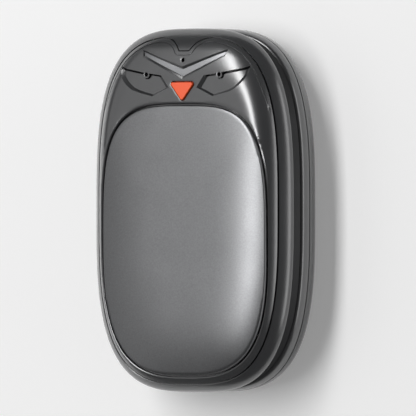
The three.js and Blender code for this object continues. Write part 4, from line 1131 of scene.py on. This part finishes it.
# Beak button. The real piece is a satin orange moulding with a rounded triangular cap, a flange that
# keeps it behind the cover and a stem down to the switch.
beak_top_z = front_crest + plate_proud
cap_crown = 0.03
cap_round = 0.18
flange_top_z = 24.3
flange_foot_z = 23.5
flange_reach = 0.9
stem_foot_z = 22.6
stem_radius = 1.2
stem_middle = np.array([0, 35.13])
cap_rings = []
beak_middle = beak_loop.mean(axis=0)
for r in (0.05, 0.3, 0.55, 0.75, 0.88):
    inner_xy = beak_middle + (grown(beak_loop, -cap_round) - beak_middle) * r
    cap_rings.append(ring(inner_xy, beak_top_z - cap_crown * r ** 2))
for turn in np.linspace(0, quarter_turn, 8):
    fall = cap_crown + cap_round * (1 - math.cos(turn))
    cap_rings.append(ring(grown(beak_loop, -cap_round * (1 - math.sin(turn))), beak_top_z - fall))
flange_xy = grown(beak_loop, flange_reach)
flange_xy[:, 1] = np.maximum(flange_xy[:, 1], plate_head_y + plate_groove + wall / 2)
stem_xy = circle(stem_middle, stem_radius, np.arctan2(*(beak_loop - stem_middle).T[::-1]))
cap_rings += [
    ring(beak_loop, flange_top_z), ring(flange_xy, flange_top_z), ring(flange_xy, flange_foot_z),
    ring(stem_xy, flange_foot_z), ring(stem_xy, stem_foot_z),
]
beak_plastic = moulded_plastic("beak_plastic", (1.0, 0.105, 0.02), (1.0, 0.13, 0.032), 0.42, 0.0003, 0.05)
beak_button = piece_from("beak_moulding", *drum(cap_rings), beak_plastic)
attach(beak_button, "beak")
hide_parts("beak_button")


# Light pipes. The real pieces are three clear moulded rods that stand on the lamps. A flange keeps each
# behind the cover. Its domed tip sits sunk in a pinhole, which gives real shade, and the rods carry a grey
# tint darker than clear stock as painted shade, so that the tip is the dark dot in a pinhole.
pipe_radius = 0.7
pipe_break = 0.1
pipe_fillet = 0.15
pipe_flange_radius = 1.18
pipe_flange_height = 0.8
pipe_shoulder_reach = 2.4
pipe_tip_radius = 0.35
pipe_tip_sunk = 0.35
pipe_seat = 0.05
clear_plastic, clear_tree, clear_shader = new_material("clear_plastic")
haze = add_node(clear_tree, "ShaderNodeTexNoise", {"Scale": 3000.0}).outputs["Fac"]
haze_range = add_node(clear_tree, "ShaderNodeMapRange", {"Value": haze, "To Min": 0.05, "To Max": 0.2})
# The grey base colour is painted shade: it darkens the clear rods so that their tips read dark in the
# pinholes.
set_inputs(clear_shader, {
    "Base Color": (0.42, 0.45, 0.47, 1), "Transmission Weight": 1.0,
    "Roughness": haze_range.outputs["Result"],
})


def pipe_profile(foot, shoulder, tip):
    """Radii and heights of a light pipe from its foot, over the flange, to its domed tip."""
    flange_foot = shoulder - pipe_flange_height
    profile = [
        (pipe_radius - pipe_break, foot), (pipe_radius, foot + pipe_break),
        (pipe_radius, flange_foot - pipe_fillet), (pipe_radius + pipe_fillet, flange_foot),
        (pipe_flange_radius - pipe_break, flange_foot), (pipe_flange_radius, flange_foot + pipe_break),
        (pipe_flange_radius, shoulder - pipe_break), (pipe_flange_radius - pipe_break, shoulder),
        (pipe_tip_radius + pipe_break, shoulder), (pipe_tip_radius, shoulder + pipe_break),
    ]
    for turn in np.linspace(0, quarter_turn, 8)[:-1]:
        profile.append((pipe_tip_radius * math.cos(turn), tip - pipe_tip_radius * (1 - math.sin(turn))))
    return profile


for node_name in ("light_pipe_left_eye", "light_pipe_right_eye", "light_pipe_forehead"):
    low, high = (np.array(corner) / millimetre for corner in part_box(node_name))
    x, y = (low[:2] + high[:2]) / 2
    reach = pipe_shoulder_reach
    shoulder = dome_z(x + math.copysign(reach, x), y + reach) - wall - pipe_seat
    turns = np.linspace(0, full_turn, 32, endpoint=False)
    profile = pipe_profile(low[2], shoulder, high[2] - pipe_tip_sunk)
    rings = [ring(circle(np.array([x, y]), radius, turns), z) for radius, z in profile]
    pipe_name = node_name.replace("light_pipe", "clear_pipe")
    pipe = piece_from(pipe_name, *drum(rings), clear_plastic, math.radians(35))
    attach(pipe, "case")
    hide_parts(node_name)


# USB-C socket. A drawn steel shell with a rounded mouth sits behind the housing's opening. In it stands
# a black moulded tongue with a row of plated contacts on each face.
socket_sheet = 0.32
mouth_round = 0.1
socket_seam = 0.03
socket_floor_gap = 0.05
tongue_half_width = 3.3
tongue_half_height = 0.35
tongue_root_half_height = 0.9
tongue_corner = 0.2
tongue_tip_y = -50.05
tongue_root_y = -45.45
tongue_end_y = -43.85
contact_shift = 0.3
screw_steel = blasted_aluminium("screw_steel", (0.5, 0.51, 0.53), 0.3, 0.0003, 0.1)
nickel = blasted_aluminium("nickel", (0.58, 0.56, 0.51), 0.28, 0.0004, 0.1)
chip_plastic = moulded_plastic("chip_plastic", (0.011, 0.011, 0.012), (0.015, 0.015, 0.016), 0.45)

socket_back_y = socket_face_y + socket_depth
shell_profile = [
    (-socket_sheet, tongue_end_y + socket_floor_gap), (-socket_sheet, socket_face_y + mouth_round),
    (mouth_round - socket_sheet, socket_face_y), (-socket_seam - mouth_round, socket_face_y),
    (-socket_seam, socket_face_y + mouth_round), (-socket_seam, socket_back_y - mouth_round),
    (-socket_seam - mouth_round, socket_back_y),
]
shell_rings = [socket_ring(grow, y) for grow, y in shell_profile]
socket_shell = piece_from("usb_c_shell", *drum(shell_rings), screw_steel)
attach(socket_shell, "case")
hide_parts("usb_c_socket")


def used_materials_only(mesh):
    """Drops the empty material slots that a node tree leaves."""
    index = np.empty(len(mesh.polygons), dtype=np.int32)
    mesh.polygons.foreach_get("material_index", index)
    kept = [material for material in mesh.materials if material]
    lookup = [kept.index(material) if material else 0 for material in mesh.materials]
    mesh.materials.clear()
    for material in kept:
        mesh.materials.append(material)
    mesh.polygons.foreach_set("material_index", np.array(lookup, dtype=np.int32)[index])


def made_by_nodes(tree, values, places):
    """The mesh that a node tree makes at these places, with its named inputs set first."""
    mesh = bpy.data.meshes.new("places")
    mesh.from_pydata([tuple(place) for place in places], [], [])
    maker = bpy.data.objects.new("places", mesh)
    bpy.context.scene.collection.objects.link(maker)
    modifier = maker.modifiers.new("nodes", "NODES")
    modifier.node_group = tree
    for item in tree.interface.items_tree:
        if item.in_out == "INPUT" and item.name in values:
            modifier[item.identifier] = values[item.name]
    result = plain_mesh_of(maker)
    maker.modifiers.remove(modifier)
    bpy.data.objects.remove(maker)
    bpy.data.meshes.remove(mesh)
    used_materials_only(result)
    return result


def new_geometry_tree(name, sizes, counts=()):
    """A node tree with its geometry, named sizes and material as inputs, and those inputs' sockets."""
    tree = bpy.data.node_groups.new(name, "GeometryNodeTree")
    kinds = [("Geometry", "Geometry"), *((count, "Int") for count in counts)]
    for socket_name, kind in (*kinds, *((size, "Float") for size in sizes), ("Material", "Material")):
        tree_socket(tree, socket_name, kind)
    tree_socket(tree, "Geometry", "Geometry", "OUTPUT")
    return tree, tree.nodes.new("NodeGroupInput").outputs


def vector_of(tree, x=0.0, y=0.0, z=0.0):
    return add_node(tree, "ShaderNodeCombineXYZ", {0: x, 1: y, 2: z}).outputs[0]


def instances(tree, points, instance, **more):
    inputs = {"Points": points, "Instance": instance, **more}
    return add_node(tree, "GeometryNodeInstanceOnPoints", inputs).outputs["Instances"]


def finish_tree(tree, geometry, material):
    """Every node tree here ends in real geometry with its material set."""
    real = add_node(tree, "GeometryNodeRealizeInstances", {"Geometry": geometry}).outputs["Geometry"]
    painted = add_node(tree, "GeometryNodeSetMaterial", {"Geometry": real, "Material": material})
    add_node(tree, "NodeGroupOutput", {"Geometry": painted.outputs["Geometry"]})
    return tree


def contact_row_tree():
    """A row of flat contacts side by side across X, centred on each given place."""
    sizes = ("Pitch", "Contact Width", "Contact Length", "Contact Height")
    tree, given = new_geometry_tree("contact_row", sizes, ["Count"])
    size = vector_of(tree, *(given[name] for name in sizes[1:]))
    strip = add_node(tree, "GeometryNodeMeshCube", {"Size": size}).outputs["Mesh"]
    half_run = math_node(tree, "MULTIPLY_ADD", given["Count"], -0.5, 0.5)
    start = math_node(tree, "MULTIPLY", half_run, given["Pitch"])
    line = add_node(tree, "GeometryNodeMeshLine", {
        "Count": given["Count"], "Offset": vector_of(tree, given["Pitch"]),
        "Start Location": vector_of(tree, start),
    })
    row = instances(tree, line.outputs["Mesh"], strip)
    return finish_tree(tree, instances(tree, given["Geometry"], row), given["Material"])


contact_values = {
    "Count": 12, "Pitch": 0.5 * millimetre, "Contact Width": 0.26 * millimetre,
    "Contact Length": 3.4 * millimetre, "Contact Height": 0.08 * millimetre, "Material": nickel,
}
contact_y = (tongue_tip_y + tongue_root_y) / 2 + contact_shift
contact_places = [
    (0, contact_y * millimetre, (socket_z + side * tongue_half_height) * millimetre) for side in (-1, 1)
]
# Each row: how much narrower than the tongue, half height, corner and place along Y.
tongue_profile = [
    (0.3, 0.2, 0.18, tongue_tip_y), (0.08, 0.3, tongue_corner, tongue_tip_y + 0.12),
    (0, tongue_half_height, tongue_corner, tongue_tip_y + 0.35),
    (0, tongue_half_height, tongue_corner, tongue_root_y),
    (0, tongue_root_half_height, tongue_corner, tongue_root_y),
    (0, tongue_root_half_height, tongue_corner, tongue_end_y),
]
tongue_rings = [oblong_ring(tongue_half_width - less, *place) for less, *place in tongue_profile]
socket_tongue = piece_from("usb_c_tongue_moulding", *drum(tongue_rings), chip_plastic)
together = bmesh.new()
together.from_mesh(socket_tongue.data)
moulded_faces = len(together.faces)
together.from_mesh(made_by_nodes(contact_row_tree(), contact_values, contact_places))
for face in list(together.faces)[moulded_faces:]:
    face.material_index = 1
together.to_mesh(socket_tongue.data)
together.free()
socket_tongue.data.materials.append(nickel)
socket_tongue.data.set_sharp_from_angle(angle=math.radians(30))
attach(socket_tongue, "case")
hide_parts("usb_c_tongue")


# Screws. Plated steel pan-head screws that cut their own thread: six hold the shells together from the
# back, three hold the main board and two the charge board.
screw_segments = 24
spiral_resolution = 14
thread_radius_share = 0.43
thread_size_share = 0.066
thread_tip_share = 1.1
thread_start_share = 0.45
recess_shares = (0.56, 0.13)
recess_depth_share = 1.1
screw_sizes = ("Head Diameter", "Head Height", "Shank Diameter", "Length", "Thread Pitch", "Turn")
# Each row: shares of head and shank diameter for the radius, then of head height, length and shank
# diameter for the height.
screw_profile = [
    (0, 0, 0, 0, 0), (0.3, 0, 0, 0, 0), (0.42, 0, 0.1, 0, 0), (0.485, 0, 0.32, 0, 0), (0.5, 0, 0.6, 0, 0),
    (0.5, 0, 0.92, 0, 0), (0.485, 0, 1, 0, 0), (0, 0.52, 1, 0, 0), (0, 0.42, 1, 0, 0.1),
    (0, 0.42, 0, 1, -0.5), (0, 0.25, 0, 1, -0.12), (0, 0, 0, 1, 0),
]


def scaled_sum(tree, given, *terms):
    """Named size inputs, each times a number, added up."""
    total = 0.0
    for name, factor in terms:
        total = math_node(tree, "MULTIPLY_ADD", given[name], factor, total)
    return total


def screw_head_and_core(tree, given):
    """A grid whose rows stand at the profile's radii and heights, bent round into a closed lathe."""
    columns = screw_segments + 1
    size = {"Vertices X": len(screw_profile), "Vertices Y": columns}
    flat = add_node(tree, "GeometryNodeMeshGrid", size).outputs["Mesh"]
    index = tree.nodes.new("GeometryNodeInputIndex").outputs["Index"]
    row = math_node(tree, "FLOOR", math_node(tree, "DIVIDE", index, columns))
    angle = math_node(tree, "MULTIPLY", math_node(tree, "MODULO", index, columns), full_turn / screw_segments)
    switch = add_node(tree, "GeometryNodeIndexSwitch", data_type="VECTOR")
    while len(switch.index_switch_items) < len(screw_profile):
        switch.index_switch_items.new()
    for k, (head, shank, height, length, ahead) in enumerate(screw_profile):
        radius = scaled_sum(tree, given, ("Head Diameter", head), ("Shank Diameter", shank))
        z_terms = ("Head Height", height), ("Length", length), ("Shank Diameter", ahead)
        set_inputs(switch, {k + 1: vector_of(tree, radius, 0.0, scaled_sum(tree, given, *z_terms))})
    set_inputs(switch, {"Index": row})
    turned = add_node(
        tree, "ShaderNodeVectorRotate", {"Vector": switch.outputs[0], "Angle": angle}, rotation_type="Z_AXIS"
    )
    bent = add_node(tree, "GeometryNodeSetPosition", {"Geometry": flat, "Position": turned.outputs["Vector"]})
    merged = {"Geometry": bent.outputs["Geometry"], "Distance": 1e-6}
    return add_node(tree, "GeometryNodeMergeByDistance", merged).outputs["Geometry"]


def cross_recess(tree, given, solid):
    """A cross cut into the middle of the head."""
    recess = add_node(tree, "GeometryNodeMeshBoolean", {"Mesh 1": solid}, operation="DIFFERENCE")
    long_side, short_side = (scaled_sum(tree, given, ("Head Diameter", share)) for share in recess_shares)
    depth = scaled_sum(tree, given, ("Head Height", recess_depth_share))
    for sides in ((long_side, short_side), (short_side, long_side)):
        bar = add_node(tree, "GeometryNodeMeshCube", {"Size": vector_of(tree, *sides, depth)})
        set_inputs(recess, {"Mesh 2": bar.outputs["Mesh"]})
    return recess.outputs["Mesh"]


def screw_thread(tree, given):
    """A ridge that winds up the shank, from under the head to near the tip."""
    run = scaled_sum(tree, given, ("Length", 1), ("Head Height", -1), ("Shank Diameter", -thread_tip_share))
    radius = scaled_sum(tree, given, ("Shank Diameter", thread_radius_share))
    spiral = add_node(tree, "GeometryNodeCurveSpiral", {
        "Resolution": spiral_resolution, "Rotations": math_node(tree, "DIVIDE", run, given["Thread Pitch"]),
        "Start Radius": radius, "End Radius": radius, "Height": run,
    })
    flank_radius = scaled_sum(tree, given, ("Shank Diameter", thread_size_share))
    flank = add_node(tree, "GeometryNodeCurvePrimitiveCircle", {"Resolution": 3, "Radius": flank_radius})
    ridge = add_node(tree, "GeometryNodeCurveToMesh", {
        "Curve": spiral.outputs["Curve"], "Profile Curve": flank.outputs["Curve"], "Fill Caps": True,
    })
    lift = scaled_sum(tree, given, ("Head Height", 1), ("Shank Diameter", thread_start_share))
    lifted = {"Geometry": ridge.outputs["Mesh"], "Translation": vector_of(tree, 0.0, 0.0, lift)}
    return add_node(tree, "GeometryNodeTransform", lifted).outputs["Geometry"]


def pan_head_screw_tree():
    """A screw that stands on its head at every given place, or hangs from it when turned over."""
    tree, given = new_geometry_tree("pan_head_screw", screw_sizes)
    screw = tree.nodes.new("GeometryNodeJoinGeometry")
    head = cross_recess(tree, given, screw_head_and_core(tree, given))
    for part in (head, screw_thread(tree, given)):
        set_inputs(screw, {"Geometry": part})
    euler = {"Euler": vector_of(tree, given["Turn"])}
    rotation = add_node(tree, "FunctionNodeEulerToRotation", euler).outputs["Rotation"]
    spread = instances(tree, given["Geometry"], screw.outputs["Geometry"], Rotation=rotation)
    return finish_tree(tree, spread, given["Material"])


screw_tree = pan_head_screw_tree()
screw_sets = [
    ("case_screws", [f"case_screw_{k}" for k in range(1, 7)], (3.8, 1.2, 1.8, 0.7), False),
    ("board_screws", [f"board_screw_{k}" for k in range(1, 4)], (3.2, 1.0, 1.5, 0.6), False),
    ("charge_board_screws", [f"charge_board_screw_{k}" for k in range(1, 3)], (3.2, 1.0, 1.5, 0.6), True),
]
head_share, shank_share = 0.99, 0.97
for set_name, screw_nodes, sizes_mm, upside_down in screw_sets:
    boxes = [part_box(node_name) for node_name in screw_nodes]
    head, head_height, shank, pitch = (size * millimetre for size in sizes_mm)
    values = {
        "Head Diameter": head * head_share, "Head Height": head_height, "Shank Diameter": shank * shank_share,
        "Length": boxes[0][1].z - boxes[0][0].z, "Thread Pitch": pitch,
        "Turn": math.pi if upside_down else 0.0, "Material": screw_steel,
    }
    places = [(*((low + high) / 2).xy, (high if upside_down else low).z) for low, high in boxes]
    screws = bpy.data.objects.new(set_name, made_by_nodes(screw_tree, values, places))
    bpy.context.scene.collection.objects.link(screws)
    screws.data.shade_smooth()
    turn_outwards(screws, math.radians(30))
    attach(screws, "case")
    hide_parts(*screw_nodes)


# The insides keep their solids. Each gets the look of its own stock: green solder mask, shrink film
# over the cells, rolled nickel, amber film, silicone wire and closed-cell foam.
slot_colours = {entry["slot"]: entry["base_color"] for entry in frame["record"]["materials"]}
inner_finish = {
    "circuit_board": (0.3, 0.0008), "lamp_body": (0.3, 0.0003), "pale_plastic": (0.4, 0.0003),
    "cell_wrap": (0.22, 0.001), "cradle_plastic": (0.5, 0.0002), "heater_film": (0.2, 0.001),
    "foam": (0.95, 0.0006), "red_wire": (0.45, 0.0006), "black_wire": (0.45, 0.0006),
    "ribbon_cable": (0.28, 0.001),
}
own_materials = {
    "casing_plastic": casing_plastic, "frame_plastic": frame_plastic, "heating_plate": heating_plate,
    "brow_metal": brow_metal, "beak_plastic": beak_plastic, "clear_plastic": clear_plastic,
    "screw_steel": screw_steel, "nickel": nickel, "chip_plastic": chip_plastic,
}
for slot_name, (roughness, grain_size) in inner_finish.items():
    dark = [c * 0.85 for c in slot_colours[slot_name]]
    light = [min(c * 1.12, 1) for c in slot_colours[slot_name]]
    own_materials[slot_name] = moulded_plastic(slot_name, dark, light, roughness, grain_size)
for entry in frame["record"]["subparts"]:
    node = nodes[entry["node"]]
    node.data.materials.clear()
    node.data.materials.append(own_materials[entry["material_slot"]])


# The studio: a narrow bright softbox above, a little to the left and towards the head, a broad weak
# one on the left and a small one low on the right. The floor and the surround are plain and pale.
floor_material, floor_tree, floor_shader = new_material("studio_floor")
rays = floor_tree.nodes.new("ShaderNodeLightPath").outputs
mirrored = math_node(floor_tree, "MAXIMUM", rays["Is Glossy Ray"], rays["Is Transmission Ray"])
seen = math_node(floor_tree, "MAXIMUM", rays["Is Camera Ray"], mirrored)
set_inputs(floor_shader, {
    "Base Color": (0.82, 0.82, 0.82, 1), "Roughness": 0.9, "Specular IOR Level": 0.0,
    "Emission Color": (1, 1, 1, 1), "Emission Strength": math_node(floor_tree, "MULTIPLY", seen, 0.2),
})
floor_mesh = bpy.data.meshes.new("studio_floor")
floor_mesh.from_pydata([(-2, -2, 0), (2, -2, 0), (2, 2, 0), (-2, 2, 0)], [], [(0, 1, 2, 3)])
floor_mesh.materials.append(floor_material)
floor = bpy.data.objects.new("studio_floor", floor_mesh)
bpy.context.scene.collection.objects.link(floor)
floor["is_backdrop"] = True

lamp_target = Vector((0, 0, 0.02))


def softbox(name, turn_degrees, distance, y, width, height, power):
    """A rectangular lamp turned round the body's length that faces the hand warmer."""
    turn = math.radians(turn_degrees)
    middle = Vector((distance * math.sin(turn), y, distance * math.cos(turn)))
    lamp = bpy.data.lights.new(name, "AREA")
    lamp.shape = "RECTANGLE"
    lamp.size = width
    lamp.size_y = height
    lamp.energy = power
    box = bpy.data.objects.new(name, lamp)
    bpy.context.scene.collection.objects.link(box)
    box.location = middle
    back = (middle - lamp_target).normalized()
    across = Vector((0, 1, 0)).cross(back).normalized()
    box.rotation_euler = Matrix((across, back.cross(across), back)).transposed().to_euler()


softbox("key_strip", -12.5, 1.2, 0.42, 0.26, 1.3, 12.0)
softbox("left_panel", -50, 1.2, 0.1, 0.9, 1.9, 3.0)
softbox("side_fill", 81, 1.5, 0.1, 0.4, 1.6, 5.0)

world = bpy.data.worlds.new("surround")
bpy.context.scene.world = world
world.use_nodes = True
set_inputs(world.node_tree.nodes["Background"], {"Color": (0.5, 0.5, 0.5, 1), "Strength": 0.2})
bpy.context.scene.view_settings.view_transform = "Standard"

low, high = cad_box
visual_low, visual_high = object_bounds()
sizes = {
    "cad_box": [list(map(float, low)), list(map(float, high))],
    "visual_box": [list(map(float, visual_low)), list(map(float, visual_high))],
}
